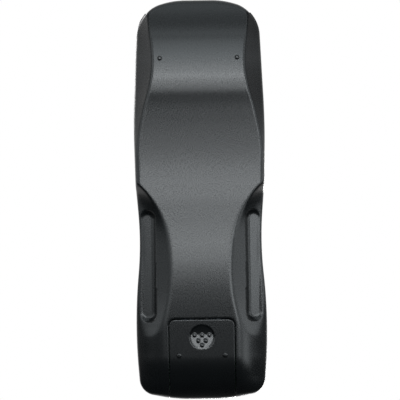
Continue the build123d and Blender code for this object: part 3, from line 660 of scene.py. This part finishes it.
def add_nub(mesh_edit, x, y, radius=1.25):
    """A small round pin with a domed tip, standing down from the skin to the floor."""
    made = bmesh.ops.create_cone(mesh_edit, cap_ends=True, segments=24, radius1=radius, radius2=radius,
                                 depth=nub_root)["verts"]
    bmesh.ops.translate(mesh_edit, vec=(x, y, nub_root / 2), verts=made)
    tip = [e for e in edges_between(mesh_edit, made) if level_with(e, 0.0)]
    round_edges(mesh_edit, tip, nub_dome, 6, clamp=False)


for side in (-1, 1):
    add_nub(skin, side * nub_place[0], nub_place[1])
rear_housing = finish_piece("rear_housing", skin, "housing", node="rear_shell",
                            material=shell_finish)
print("rear housing", len(rear_housing.data.polygons), "faces")

# %% [markdown]
# ## Battery tub
# Behind the door stands the compartment for two cells, with rails for the door and posts for the
# board. It is plain moulded box work that shows only when the door is off, so it is cut from a
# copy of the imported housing: the copy's loose triangles are merged, and planes trim the outer
# skin away from it.

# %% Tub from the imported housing
tub_half_width, tub_heel, tub_end, tub_floor = 17.0, -94.4, -33.4, 3.4
tub_edge, tub_edge_angle, tub_edge_length = 0.25, 0.8, 3


def copy_of(node):
    """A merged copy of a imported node's mesh, in millimetres."""
    mesh_edit = bmesh.new()
    mesh_edit.from_mesh(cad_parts[node].data)
    bmesh.ops.remove_doubles(mesh_edit, verts=mesh_edit.verts, dist=1e-6)
    bmesh.ops.scale(mesh_edit, vec=(1 / MM, 1 / MM, 1 / MM), verts=mesh_edit.verts)
    return mesh_edit


def keep_inside(mesh_edit, place, towards):
    """Cuts away what lies on the far side of a plane."""
    geom = mesh_edit.verts[:] + mesh_edit.edges[:] + mesh_edit.faces[:]
    bmesh.ops.bisect_plane(mesh_edit, geom=geom, plane_co=place, plane_no=towards, clear_inner=True)


tub = copy_of("rear_shell")
for place, towards in (((tub_half_width, 0, 0), (-1, 0, 0)), ((-tub_half_width, 0, 0), (1, 0, 0)),
                       ((0, tub_heel, 0), (0, 1, 0)), ((0, tub_end, 0), (0, -1, 0)),
                       ((0, 0, tub_floor), (0, 0, 1))):
    keep_inside(tub, place, towards)
sharp = [e for e in tub.edges if e.is_manifold and e.calc_face_angle(0) > tub_edge_angle
         and e.calc_length() > tub_edge_length]
round_edges(tub, sharp, tub_edge, 2)
battery_tub = finish_piece("battery_tub", tub, "housing", node="rear_shell", smooth=False,
                           material=inner_finish)
print("tub", len(battery_tub.data.polygons), "faces")

# %% [markdown]
# ## Battery door
# The door continues the skin over the heel, so it is lifted from the same form, on a finer grid:
# it carries the smallest details of the back. A round dish takes the thumb, with six domed dots
# for grip. They are part of the moulding, so they are heights added to the form and not separate
# pieces stuck on it. The dish is deepest a little towards the window end.

# %% Skin of the battery door
door_half, door_top, door_corner = 17.65, -64.5, 3.5
dish_centre, dish_radius, dish_depth, dish_turn = (0.0, -74.0), 6.5, 1.4, 0.2
dish_rise, dish_rise_power, dish_edge_out, dish_edge = 0.7, 1.6, 0.25, 0.6
dot_places = [(-4.0, -72.9), (0.0, -72.9), (4.0, -72.9), (-2.0, -75.9), (2.0, -75.9), (0.0, -78.3)]
dot_radius, dot_height = 1.05, 0.5
door_rows = np.linspace(heel_row, door_top, 126)


def door_columns(y):
    """Places across for one row, the same for every row."""
    return np.linspace(-door_half, door_half, 119)


def smooth_step(value):
    """Zero below zero, one above one, with a smooth way between them."""
    value = np.clip(value, 0, 1)
    return value * value * (3 - 2 * value)


door = bmesh.new()
bmesh.ops.create_grid(door, x_segments=len(door_columns(0.0)) - 1, y_segments=len(door_rows) - 1, size=1)
_, row = lift_grid(door, door_columns, door_rows, door_corner)
for vert in door.verts:
    x, y, _ = vert.co
    away = math.hypot(x - dish_centre[0], y - dish_centre[1])
    up_share = (y - dish_centre[1]) / dish_radius
    depth = dish_depth * (1 + up_share) / (1 + dish_turn)
    if up_share > dish_turn:
        depth = dish_depth * (1 - dish_rise * ((up_share - dish_turn) / (1 - dish_turn))**dish_rise_power)
    vert.co.z += float(smooth_step((dish_radius + dish_edge_out - away) / dish_edge)) * max(depth, 0.0)
    for dot_x, dot_y in dot_places:
        reach = math.hypot(x - dot_x, y - dot_y) / dot_radius
        if reach < 1:
            vert.co.z -= dot_height * math.sqrt(1 - reach * reach)
print("door skin", len(door.verts), "vertices")

# %% [markdown]
# ## Wall, rails and latch of the battery door
# At the heel the door carries a piece of the side wall, which is pulled up from its last row. On
# its inner side stand what holds it: a rib with a lip along each side, which grip the rails of the
# housing, and a latch in the middle of its far end. These are boxes with softened edges.

# %% Wall, rails and latch of the battery door
door_wall_top, door_thickness, block_edge = 13.8, 1.6, 0.2
heel_edges = [e for e in door.edges if e.is_boundary and all(row[v.index] == 0 for v in e.verts)]
heel_edit = bmesh.ops.extrude_edge_only(door, edges=heel_edges)
for part in heel_edit["geom"]:
    if isinstance(part, bmesh.types.BMVert):
        part.co.z = door_wall_top
for vert in {v for e in door.edges if e.is_boundary for v in e.verts}:
    if vert.co.z < door_wall_top - 0.1:
        vert.co.z += edge_turn_in
face_down(door)
bmesh.ops.solidify(door, geom=door.faces[:], thickness=door_thickness)


def add_block(mesh_edit, low, high):
    """A moulded block between two corners, with softened edges."""
    made = bmesh.ops.create_cube(mesh_edit, size=1)["verts"]
    middle, size = [(a + b) / 2 for a, b in zip(low, high)], [b - a for a, b in zip(low, high)]
    bmesh.ops.scale(mesh_edit, vec=size, verts=made)
    bmesh.ops.translate(mesh_edit, vec=middle, verts=made)
    round_edges(mesh_edit, edges_between(mesh_edit, made), block_edge, 2, clamp=False)


door_nub, door_nub_radius = (12.4, -83.7), 1.5
rail_heel, rail_end, rib_top, lip_bottom = -85.0, -68.5, 5.5, 4.75
rib_inside, lip_outside, lip_inside = 16.75, 16.9, 16.2
for side in (-1, 1):
    add_nub(door, side * door_nub[0], door_nub[1], radius=door_nub_radius)
    rib, lip = sorted((side * door_half, side * rib_inside)), sorted((side * lip_outside, side * lip_inside))
    add_block(door, (rib[0], rail_heel, nub_root), (rib[1], rail_end, rib_top))
    add_block(door, (lip[0], rail_heel, lip_bottom), (lip[1], rail_end, rib_top))
latch_half, latch_top, latch_root = 3.5, 4.4, -67.0
tongue_root, tongue_end, tongue_bottom = -66.9, -62.1, 3.3
add_block(door, (-latch_half, latch_root, nub_root), (latch_half, door_top, latch_top))
add_block(door, (-latch_half, tongue_root, tongue_bottom), (latch_half, tongue_end, latch_top))
door_piece = finish_piece("battery_door_skin", door, "battery_door", node="battery_door",
                          material=door_finish)
print("door", len(door_piece.data.polygons), "faces")

# %% [markdown]
# ## Front housing
# The front half is a flat moulding with a rounded rim and one hole for each key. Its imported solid
# already has the right form, but hard edges. A real moulding has a small radius on every hole, so
# a merged copy gets its edges bevelled: more steps on the rim, where one slope stands for a
# rounding, then round corners in the holes, and a fine edge round their mouths that the light can
# catch. The rim comes first, while no bevel of a hole can be taken for a part of it. The holes of
# the arrow keys are arcs of short straight runs, so only their true corners are rounded. Narrow
# bevels beside wide faces shade unevenly, so the wide faces are given the say over the normals.

# %% Front housing
face_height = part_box("front_shell")[1][2] / MM
rim_slope_height, sharp_angle = 2.6, math.radians(50)
rim_rounding, hole_corner, mouth_edge = 0.95, 0.7, 0.2
arrow_centre, arrow_zone = (0.0, 50.0), (7.5, 18)
# Angles between the two faces at an edge, in radians
slight, steep, arrow_corner_turn, corner_turn = 0.4, 1.2, 0.7, 0.3


def merged_flats(node):
    """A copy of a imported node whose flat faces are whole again, so that true edges can be found."""
    mesh_edit = copy_of(node)
    bmesh.ops.dissolve_limit(mesh_edit, angle_limit=math.radians(1.0), verts=mesh_edit.verts,
                             edges=mesh_edit.edges)
    return mesh_edit


def upright(edge, top, short_of_top=0.05):
    """Whether an edge stands straight up and reaches a height."""
    run = edge.verts[0].co - edge.verts[1].co
    reaches = max(vert.co.z for vert in edge.verts) > top - short_of_top
    return math.hypot(run.x, run.y) < touching and edge.is_manifold and reaches


def beside_arrows(edge):
    """Whether an edge belongs to the holes of the four arrow keys."""
    place = (edge.verts[0].co + edge.verts[1].co) / 2
    return arrow_zone[0] < math.hypot(place.x, place.y - arrow_centre[1]) < arrow_zone[1]


def steady_normals(piece):
    """Lets large faces set the shading of the small bevels beside them, and keeps the result."""
    steady = piece.modifiers.new("steady", "WEIGHTED_NORMAL")
    steady.mode, steady.weight, steady.keep_sharp = "FACE_AREA", 100, True
    settled = bpy.data.meshes.new_from_object(piece.evaluated_get(bpy.context.evaluated_depsgraph_get()))
    piece.modifiers.clear()
    settled.name = piece.data.name + "_settled"
    piece.data = settled


front = merged_flats("front_shell")
rims = [e for e in front.edges if e.is_manifold and slight < e.calc_face_angle(0) < steep
        and any(level_with(e, z) for z in (face_height, face_height - rim_slope_height))]
round_edges(front, rims, rim_rounding, 3)
corners = [e for e in front.edges if upright(e, face_height)
           and e.calc_face_angle(0) > (arrow_corner_turn if beside_arrows(e) else corner_turn)]
round_edges(front, corners, hole_corner, 2)
mouths = [e for e in front.edges
          if e.is_manifold and level_with(e, face_height) and e.calc_face_angle(0) > steep]
round_edges(front, mouths, mouth_edge, 2)
front_housing = finish_piece("front_housing", front, "housing", node="front_shell",
                             material=shell_finish)
front_housing.data.set_sharp_from_angle(angle=sharp_angle)
steady_normals(front_housing)
print("front housing", len(front_housing.data.polygons), "faces, hole corners", len(corners), "mouths",
      len(mouths), "rim edges", len(rims))

# %% [markdown]
# ## Rubber and paint of the keys
# The keys are caps of silicone rubber, pressed in one warm mould, so they are matt and a little
# soft in their highlights. Their marks are printed in pale paint, as thin as a hair on the top.
# Silicone's IOR is 1.41, lower than that of the shell's plastic, which keeps its gloss weak.

# %% Rubber and paint
def pressed_rubber(name, colour, roughness=0.62):
    """Silicone rubber from a fine mould: matt, even, with a faint dusting of lighter spots."""
    material, tree = new_finish(name)
    place = add_node(tree, "ShaderNodeTexCoord").outputs["Object"]
    spot_mm, spot_height_mm = 0.8, 0.01
    spots = add_node(tree, "ShaderNodeTexNoise", Vector=place, Scale=1 / (spot_mm * MM),
                     Detail=3.0).outputs["Fac"]
    dust = add_node(tree, "ShaderNodeMapRange", Value=spots, From_Min=0.35, From_Max=0.75, To_Min=0.9,
                    To_Max=1.15).outputs[0]
    tint = add_node(tree, "ShaderNodeMix", {"data_type": "RGBA", "blend_type": "MULTIPLY"}, Factor=1.0,
                    i6=srgb(colour), i7=dust).outputs[2]
    bump = add_node(tree, "ShaderNodeBump", Height=spots, Strength=1.0,
                    Distance=spot_height_mm * MM).outputs[0]
    shader = add_node(tree, "ShaderNodeBsdfPrincipled", Base_Color=tint, Roughness=roughness, IOR=1.41,
                      Normal=bump)
    add_node(tree, "ShaderNodeOutputMaterial", Surface=shader.outputs[0])
    return material


key_rubber = pressed_rubber("silicone_pressed_grey", "#4A4D50")
power_rubber = pressed_rubber("silicone_pressed_red", "#9E2A22")
mat_rubber = pressed_rubber("silicone_pressed_sheet", "#6A6C6E", 0.7)
print_paint = pressed_rubber("paint_printed_white", "#D8D9D6", 0.5)
print("rubbers", key_rubber.name, power_rubber.name, mat_rubber.name, "and", print_paint.name)

# %% [markdown]
# ## Key caps
# Each cap stands through its hole with a slightly crowned top. Scaling one cap to all sizes would
# stretch its round corners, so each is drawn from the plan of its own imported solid: the uprights
# are bevelled round, the top edge is bevelled soft, and two insets give the rows of vertices that
# the crown needs.

# %% Key caps
key_nodes = sorted(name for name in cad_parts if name.startswith("key_"))
key_top = max(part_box(name)[1][2] for name in key_nodes) / MM
cap_corner, cap_edge, cap_rim_turn = 0.8, 0.5, 0.5
mark_depth = 0.06  # the thickness of the print, by which the rubber under it is lowered
crown_insets = ((0.7, 0.3), (1.0, 0.16))  # how far in, and how far what lies outside it drops


def make_cap(node):
    """A crowned cap over the plan of a packed key, with its flange below."""
    cap = merged_flats(node)
    round_edges(cap, [e for e in cap.edges if upright(e, key_top)], cap_corner, 3)
    rims = [e for e in cap.edges
            if level_with(e, key_top) and e.is_manifold and e.calc_face_angle(0) > cap_rim_turn]
    round_edges(cap, rims, cap_edge, 3)
    top = [f for f in cap.faces if all(abs(v.co.z - key_top) < touching for v in f.verts)]
    for thickness, drop in crown_insets:
        outer = {v for f in top for v in f.verts}
        bmesh.ops.inset_region(cap, faces=top, thickness=thickness, use_even_offset=True)
        inner = {v for f in top for v in f.verts}
        for vert in inner:
            vert.co.z -= mark_depth
        for vert in outer - inner:
            vert.co.z -= drop
    return cap


print("keys", len(key_nodes), "tops at", round(key_top, 2), "mm")

# %% [markdown]
# ## Caps of the arrow keys
# The arrow keys are pieces of a ring, and their packed arcs are too coarse to bevel. So the cap is
# a fine flat grid that is bent round the middle of the pad. Its corners are drawn in to arcs, its
# edges drop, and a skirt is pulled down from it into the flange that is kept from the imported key.

# %% Caps of the arrow keys
arrow_keys = {"key_up": 0.0, "key_right": 90.0, "key_down": 180.0, "key_left": 270.0}
ring_inner, ring_outer, ring_half_angle = 8.6, 16.4, math.radians(36)
ring_radius, half_depth = (ring_inner + ring_outer) / 2, (ring_outer - ring_inner) / 2
half_run = ring_radius * ring_half_angle
ring_corner, ring_drop, ring_drop_width = 0.9, 0.45, 1.5
ring_columns, ring_rows = 40, 20
flange_top, skirt_foot = 24.55, 24.2


def make_arrow_cap(node):
    """A crowned piece of a ring, with its flange below."""
    cap = copy_of(node)
    keep_inside(cap, (0, 0, flange_top), (0, 0, -1))
    grid = bmesh.ops.create_grid(cap, x_segments=ring_columns, y_segments=ring_rows, size=1)["verts"]
    for vert in grid:
        across, out = vert.co.x * half_run, vert.co.y * half_depth
        right, up = abs(across) - half_run + ring_corner, abs(out) - half_depth + ring_corner
        margin = ring_corner - max(right, up)
        if right > 0 and up > 0:
            shrink = max(right, up) / math.hypot(right, up)
            across = math.copysign(half_run - ring_corner + right * shrink, across)
            out = math.copysign(half_depth - ring_corner + up * shrink, out)
        angle = across / ring_radius + math.radians(arrow_keys[node])
        radius = ring_radius + out
        drop = mark_depth + ring_drop * max(0.0, 1 - margin / ring_drop_width)**2
        vert.co = (arrow_centre[0] + radius * math.sin(angle), arrow_centre[1] + radius * math.cos(angle),
                   key_top - drop)
    of_grid = set(grid)
    edges = [e for e in cap.edges if e.is_boundary and e.verts[0] in of_grid]
    for part in bmesh.ops.extrude_edge_only(cap, edges=edges)["geom"]:
        if isinstance(part, bmesh.types.BMVert):
            part.co.z = skirt_foot
    return cap


print("arrow caps between radii", ring_inner, "and", ring_outer, "mm")

# %% [markdown]
# ## Print on the keys
# The marks are plain bars, triangles, discs and digits. An image texture could carry them, but
# thin plates of paint stay sharp from near and go along with the mesh. Digits come from Blender's
# own font and are made a mesh first. Each plate is marked to take the paint, the cap's second
# material.

# %% Print on the keys
digit_height = 4.6


def lay_print(mesh_edit, made, x, y):
    """Moves a plate of paint to its place on the key's top and marks it as paint."""
    bmesh.ops.translate(mesh_edit, vec=(x, y, key_top - mark_depth), verts=made)
    for face in {f for v in made for f in v.link_faces}:
        face.material_index = 1


def add_mark(mesh_edit, shapes, x, y):
    """Flat printed shapes on a key: bars, triangles and discs, each a thin plate of paint."""
    for kind, dx, dy, *size in shapes:
        if kind == "bar":
            made = bmesh.ops.create_cube(mesh_edit, size=1)["verts"]
            bmesh.ops.scale(mesh_edit, vec=(size[0], size[1], 2 * mark_depth), verts=made)
        else:
            sides, turn = (3, size[1]) if kind == "triangle" else (20, 0.0)
            made = bmesh.ops.create_cone(mesh_edit, cap_ends=True, segments=sides, radius1=size[0],
                                         radius2=size[0], depth=2 * mark_depth)["verts"]
            bmesh.ops.rotate(mesh_edit, cent=(0, 0, 0), matrix=Matrix.Rotation(math.radians(turn), 3, "Z"),
                             verts=made)
        lay_print(mesh_edit, made, x + dx, y + dy)


def add_digit(mesh_edit, digit, x, y):
    """A plain printed digit, set from Blender's own font and made a mesh before it is placed."""
    text = bpy.data.curves.new("digit", "FONT")
    text.body, text.size, text.extrude = digit, digit_height, mark_depth
    text.align_x, text.align_y = "CENTER", "CENTER"
    carrier = bpy.data.objects.new("digit", text)
    bpy.context.scene.collection.objects.link(carrier)
    bpy.context.view_layer.update()
    mesh = carrier.evaluated_get(bpy.context.evaluated_depsgraph_get()).to_mesh()
    before = set(mesh_edit.verts)
    mesh_edit.from_mesh(mesh)
    made = [v for v in mesh_edit.verts if v not in before]
    middle = [(min(v.co[k] for v in made) + max(v.co[k] for v in made)) / 2 for k in (0, 1)]
    lay_print(mesh_edit, made, x - middle[0], y - middle[1])
    bpy.data.objects.remove(carrier)
    bpy.data.curves.remove(text)


# Each shape: its kind, its place from the key's middle, and a bar's sides, a disc's radius or a
# triangle's radius and turn
up, down, left, right = 0.0, 180.0, 90.0, -90.0
arrow_mark = ring_radius - 0.1
marks = {
    "cable": [("disc", 0, 0, 0.6)],
    "tv": [("disc", -1.1, 0, 0.6), ("disc", 1.1, 0, 0.6)],
    "aux": [("disc", -2.2, 0, 0.6), ("disc", 0, 0, 0.6), ("disc", 2.2, 0, 0.6)],
    "input": [("bar", -1.6, 0, 0.5, 2.6), ("triangle", 0.8, 0, 1.2, right)],
    "up": [("triangle", 0, arrow_mark, 1.3, up)], "down": [("triangle", 0, -arrow_mark, 1.3, down)],
    "left": [("triangle", -arrow_mark, 0, 1.3, left)], "right": [("triangle", arrow_mark, 0, 1.3, right)],
    "select": [("disc", 0, 0, 1.0)],
    "power": [("bar", 0, 0.5, 0.6, 3.4)],
    "guide": [("bar", 0, 1.3, 4, 0.5), ("bar", 0, 0, 4, 0.5), ("bar", 0, -1.3, 4, 0.5)],
    "menu": [("bar", 0, 0.7, 4, 0.5), ("bar", 0, -0.7, 4, 0.5)],
    "info": [("disc", 0, 1.3, 0.45), ("bar", 0, -0.6, 0.7, 2.0)],
    "exit": [("bar", 0, 0, 3.4, 0.5), ("triangle", -2.2, 0, 0.9, left)],
    "volume_up": [("bar", 0, 0, 4, 0.6), ("bar", 0, 0, 0.6, 4)], "volume_down": [("bar", 0, 0, 4, 0.6)],
    "channel_up": [("triangle", 0, 0, 2.0, up)], "channel_down": [("triangle", 0, 0, 2.0, down)],
    "mute": [("bar", -0.9, 0, 1.2, 1.6), ("triangle", 0.6, 0, 1.5, left)],
    "last": [("triangle", -0.9, 0, 1.2, left), ("bar", 1.0, 0, 2.0, 0.5)],
    "clear": [("bar", 0, 0, 3.2, 0.5)], "enter": [("triangle", 0, 0, 1.3, right)],
    "rewind": [("triangle", -1.1, 0, 1.3, left), ("triangle", 1.1, 0, 1.3, left)],
    "forward": [("triangle", -1.1, 0, 1.3, right), ("triangle", 1.1, 0, 1.3, right)],
    "play": [("triangle", 0, 0, 1.6, right)], "record": [("disc", 0, 0, 1.3)],
    "stop": [("bar", 0, 0, 2.4, 2.4)], "pause": [("bar", -0.9, 0, 0.8, 2.6), ("bar", 0.9, 0, 0.8, 2.6)],
}
print("marks", len(marks))

# %% [markdown]
# ## All the keys
# Each key is its own piece on its own body, so that it can be pressed alone. Its mark is laid from
# the middle of the key, or from the middle of the pad for an arrow key. Only the power key is red.

# %% All the keys
for node in key_nodes:
    low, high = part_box(node)
    word = node.removeprefix("key_")
    if node in arrow_keys:
        cap, middle = make_arrow_cap(node), arrow_centre
    else:
        cap, middle = make_cap(node), ((low[0] + high[0]) / 2 / MM, (low[1] + high[1]) / 2 / MM)
    if word.isdigit():
        add_digit(cap, word, *middle)
    else:
        add_mark(cap, marks[word], *middle)
    slot, rubber = ("key_power", power_rubber) if word == "power" else ("key", key_rubber)
    piece = finish_piece("cap_" + word, cap, node, node=node, material=rubber)
    piece.data.materials.append(print_paint)
    piece.data.set_sharp_from_angle(angle=sharp_angle)
    steady_normals(piece)
print("caps", len(key_nodes))

# %% [markdown]
# ## Finishes of the small parts
# Inside lie a lacquered circuit board, nickel-plated contacts, blackened screws and a few moulded
# parts. They show only through the battery opening or when the part is taken apart, so their
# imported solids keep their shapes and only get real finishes: each says how the surface was made.

# %% Finishes of the small parts
def plain_finish(name, colour, roughness, metallic=0.0, coat=0.0, speck_mm=1.0, bump_mm=0.004,
                 stretch=(1, 1, 1)):
    """A finish whose tone and gloss vary slightly in fine specks. Stretch draws them out to lines."""
    tone_spread, gloss_spread = 0.15, 0.06
    material, tree = new_finish(name)
    place = add_node(tree, "ShaderNodeTexCoord").outputs["Object"]
    drawn = add_node(tree, "ShaderNodeMapping", Vector=place, Scale=stretch).outputs[0]
    speck = add_node(tree, "ShaderNodeTexNoise", Vector=drawn, Scale=1 / (speck_mm * MM),
                     Detail=3.0).outputs["Fac"]
    tone = add_node(tree, "ShaderNodeMapRange", Value=speck, From_Min=0.3, From_Max=0.7,
                    To_Min=1 - tone_spread, To_Max=1 + tone_spread).outputs[0]
    tint = add_node(tree, "ShaderNodeMix", {"data_type": "RGBA", "blend_type": "MULTIPLY"}, Factor=1.0,
                    i6=srgb(colour), i7=tone).outputs[2]
    gloss = add_node(tree, "ShaderNodeMapRange", Value=speck, From_Min=0.3, From_Max=0.7,
                     To_Min=roughness - gloss_spread, To_Max=roughness + gloss_spread).outputs[0]
    bump = add_node(tree, "ShaderNodeBump", Height=speck, Strength=1.0, Distance=bump_mm * MM).outputs[0]
    shader = add_node(tree, "ShaderNodeBsdfPrincipled", Base_Color=tint, Roughness=gloss, Metallic=metallic,
                      Coat_Weight=coat, Normal=bump)
    add_node(tree, "ShaderNodeOutputMaterial", Surface=shader.outputs[0])
    return material


nickel = plain_finish("steel_nickel_plated", "#B9B7B0", 0.28, metallic=1.0, speck_mm=0.6, stretch=(1, 8, 1))
finishes = {
    "ir_window": plain_finish("acrylic_moulded_dark_red", "#24090C", 0.12, speck_mm=6.0, coat=0.3),
    "circuit_board": plain_finish("laminate_lacquered_green", "#1E5A37", 0.35, coat=0.4, speck_mm=1.5),
    "keypad_mat": mat_rubber,
    "contact_bridge": nickel, "contact_plate_left": nickel, "contact_plate_right": nickel,
    "case_screws": plain_finish("steel_blackened_oiled", "#3C3B3A", 0.4, metallic=1.0, speck_mm=0.4),
    "microcontroller": plain_finish("epoxy_moulded_black", "#17181A", 0.55, speck_mm=0.3, bump_mm=0.01),
    "resonator": plain_finish("ceramic_dipped_blue", "#2A4E8C", 0.3, coat=0.5, speck_mm=2.0),
    "capacitor": plain_finish("sleeve_shrunk_black", "#1B1F26", 0.4, speck_mm=1.0),
    "infrared_leds": plain_finish("epoxy_cast_smoked", "#2B2430", 0.12, coat=0.2, speck_mm=2.0),
}
for node, finish in finishes.items():
    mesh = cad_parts[node].data
    mesh.materials.clear()
    mesh.materials.append(finish)
print("finishes", sorted({finish.name for finish in finishes.values()}))

# %% [markdown]
# ## Battery cells
# A cell is a drawn steel can in a plain jacket: slate grey over most of its length, with a pale
# band at the positive end. It is a turned body, so its half profile is drawn once and spun about
# the axis, which gives the rolled shoulder and the raised nub. The band is set by the place along
# the cell, so it stays with the jacket.

# %% Battery cells
def jacket_finish(name, band_start, towards):
    """A shrunk jacket, slate with a pale band. The band is worked out from the place along Y."""
    material, tree = new_finish(name)
    place = add_node(tree, "ShaderNodeTexCoord").outputs["Object"]
    along_y = add_node(tree, "ShaderNodeSeparateXYZ", Vector=place).outputs["Y"]
    side_of_band = "GREATER_THAN" if towards > 0 else "LESS_THAN"
    band = add_node(tree, "ShaderNodeMath", {"operation": side_of_band}, i0=along_y,
                    i1=band_start * MM).outputs[0]
    scuff_mm = 3
    scuff = add_node(tree, "ShaderNodeTexNoise", Vector=place, Scale=1 / (scuff_mm * MM),
                     Detail=4.0).outputs["Fac"]
    colour = add_node(tree, "ShaderNodeMix", {"data_type": "RGBA"}, Factor=band, i6=srgb("#46505A"),
                      i7=srgb("#B4B8BA")).outputs[2]
    gloss = add_node(tree, "ShaderNodeMapRange", Value=scuff, To_Min=0.22, To_Max=0.42).outputs[0]
    shader = add_node(tree, "ShaderNodeBsdfPrincipled", Base_Color=colour, Metallic=0.35, Roughness=gloss)
    add_node(tree, "ShaderNodeOutputMaterial", Surface=shader.outputs[0])
    return material


cell_radius, nub_radius, band_length = 7.2, 2.7, 14
for node, way in (("cell_left", -1), ("cell_right", 1)):
    low, high = (Vector(c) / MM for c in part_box(node))
    middle = ((low.x + high.x) / 2, (low.z + high.z) / 2)
    nub_end, flat_end = (low.y, high.y) if way < 0 else (high.y, low.y)
    inward = -way
    # Radius and place along Y, from the nub's face over the shoulder and the can to the flat end
    profile = [(0.0, nub_end), (nub_radius - 0.4, nub_end), (nub_radius, nub_end + 0.4 * inward),
               (nub_radius, nub_end + 1.2 * inward), (cell_radius - 1.0, nub_end + 1.25 * inward),
               (cell_radius - 0.5, nub_end + 1.6 * inward), (cell_radius, nub_end + 2.2 * inward),
               (cell_radius, flat_end - 0.6 * inward), (cell_radius - 0.6, flat_end), (0.0, flat_end)]
    cell = bmesh.new()
    spots = [cell.verts.new((middle[0] + r, y, middle[1])) for r, y in profile]
    line = [cell.edges.new(pair) for pair in zip(spots, spots[1:])]
    bmesh.ops.spin(cell, geom=spots + line, cent=(middle[0], 0, middle[1]), axis=(0, 1, 0), dvec=(0, 0, 0),
                   angle=2 * math.pi, steps=48, use_merge=True)
    bmesh.ops.remove_doubles(cell, verts=cell.verts, dist=1e-4)
    bmesh.ops.recalc_face_normals(cell, faces=cell.faces)
    jacket = jacket_finish("jacket_shrunk_" + node, nub_end + band_length * inward, way)
    piece = finish_piece(node + "_jacket", cell, "housing", node=node, material=jacket)
    piece.data.set_sharp_from_angle(angle=math.radians(35))
    print(node, "nub at y", round(nub_end, 1), "mm")

# %% [markdown]
# ## Coil springs
# Each negative end is met by a coil of nickel-plated spring wire that narrows towards the cell.
# A curve with a round bevel is the natural way to draw wire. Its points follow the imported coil:
# three turns, wide at the seat and narrower at the cell.

# %% Coil springs
wire_radius, end_gap = 0.34, 0.35
turns, per_turn, seat_radius, narrowing = 3, 10, 4.05, 1.0
for node in ("spring_left", "spring_right"):
    low, high = (Vector(c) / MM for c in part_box(node))
    seat, way = (high.y, -1) if node == "spring_left" else (low.y, 1)
    axis = ((low.x + high.x) / 2, (low.z + high.z) / 2)
    wire = bpy.data.curves.new(node + "_wire", "CURVE")
    wire.dimensions, wire.bevel_depth, wire.bevel_resolution, wire.resolution_u = "3D", wire_radius * MM, 3, 3
    line = wire.splines.new("NURBS")
    length = high.y - low.y - 2 * end_gap
    line.points.add(turns * per_turn)
    for step, point in enumerate(line.points):
        share = step / (turns * per_turn)
        angle, radius = 2 * math.pi * turns * share, seat_radius - narrowing * share
        point.co = ((axis[0] + radius * math.cos(angle)) * MM, (seat + way * (end_gap + length * share)) * MM,
                    (axis[1] + radius * math.sin(angle)) * MM, 1.0)
    line.order_u, line.use_endpoint_u = 4, True
    coil_shape = bpy.data.objects.new(node + "_shape", wire)
    bpy.context.scene.collection.objects.link(coil_shape)
    depsgraph = bpy.context.evaluated_depsgraph_get()
    coil_mesh = bpy.data.meshes.new_from_object(coil_shape.evaluated_get(depsgraph))
    bpy.data.objects.remove(coil_shape)
    coil_mesh.name = node + "_coil"
    coil_mesh.materials.clear()
    coil_mesh.materials.append(nickel)
    coil = bpy.data.objects.new(node + "_coil", coil_mesh)
    bpy.context.scene.collection.objects.link(coil)
    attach(coil, "housing")
    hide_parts(node)
    print(node, "coil", len(coil_mesh.vertices), "vertices")
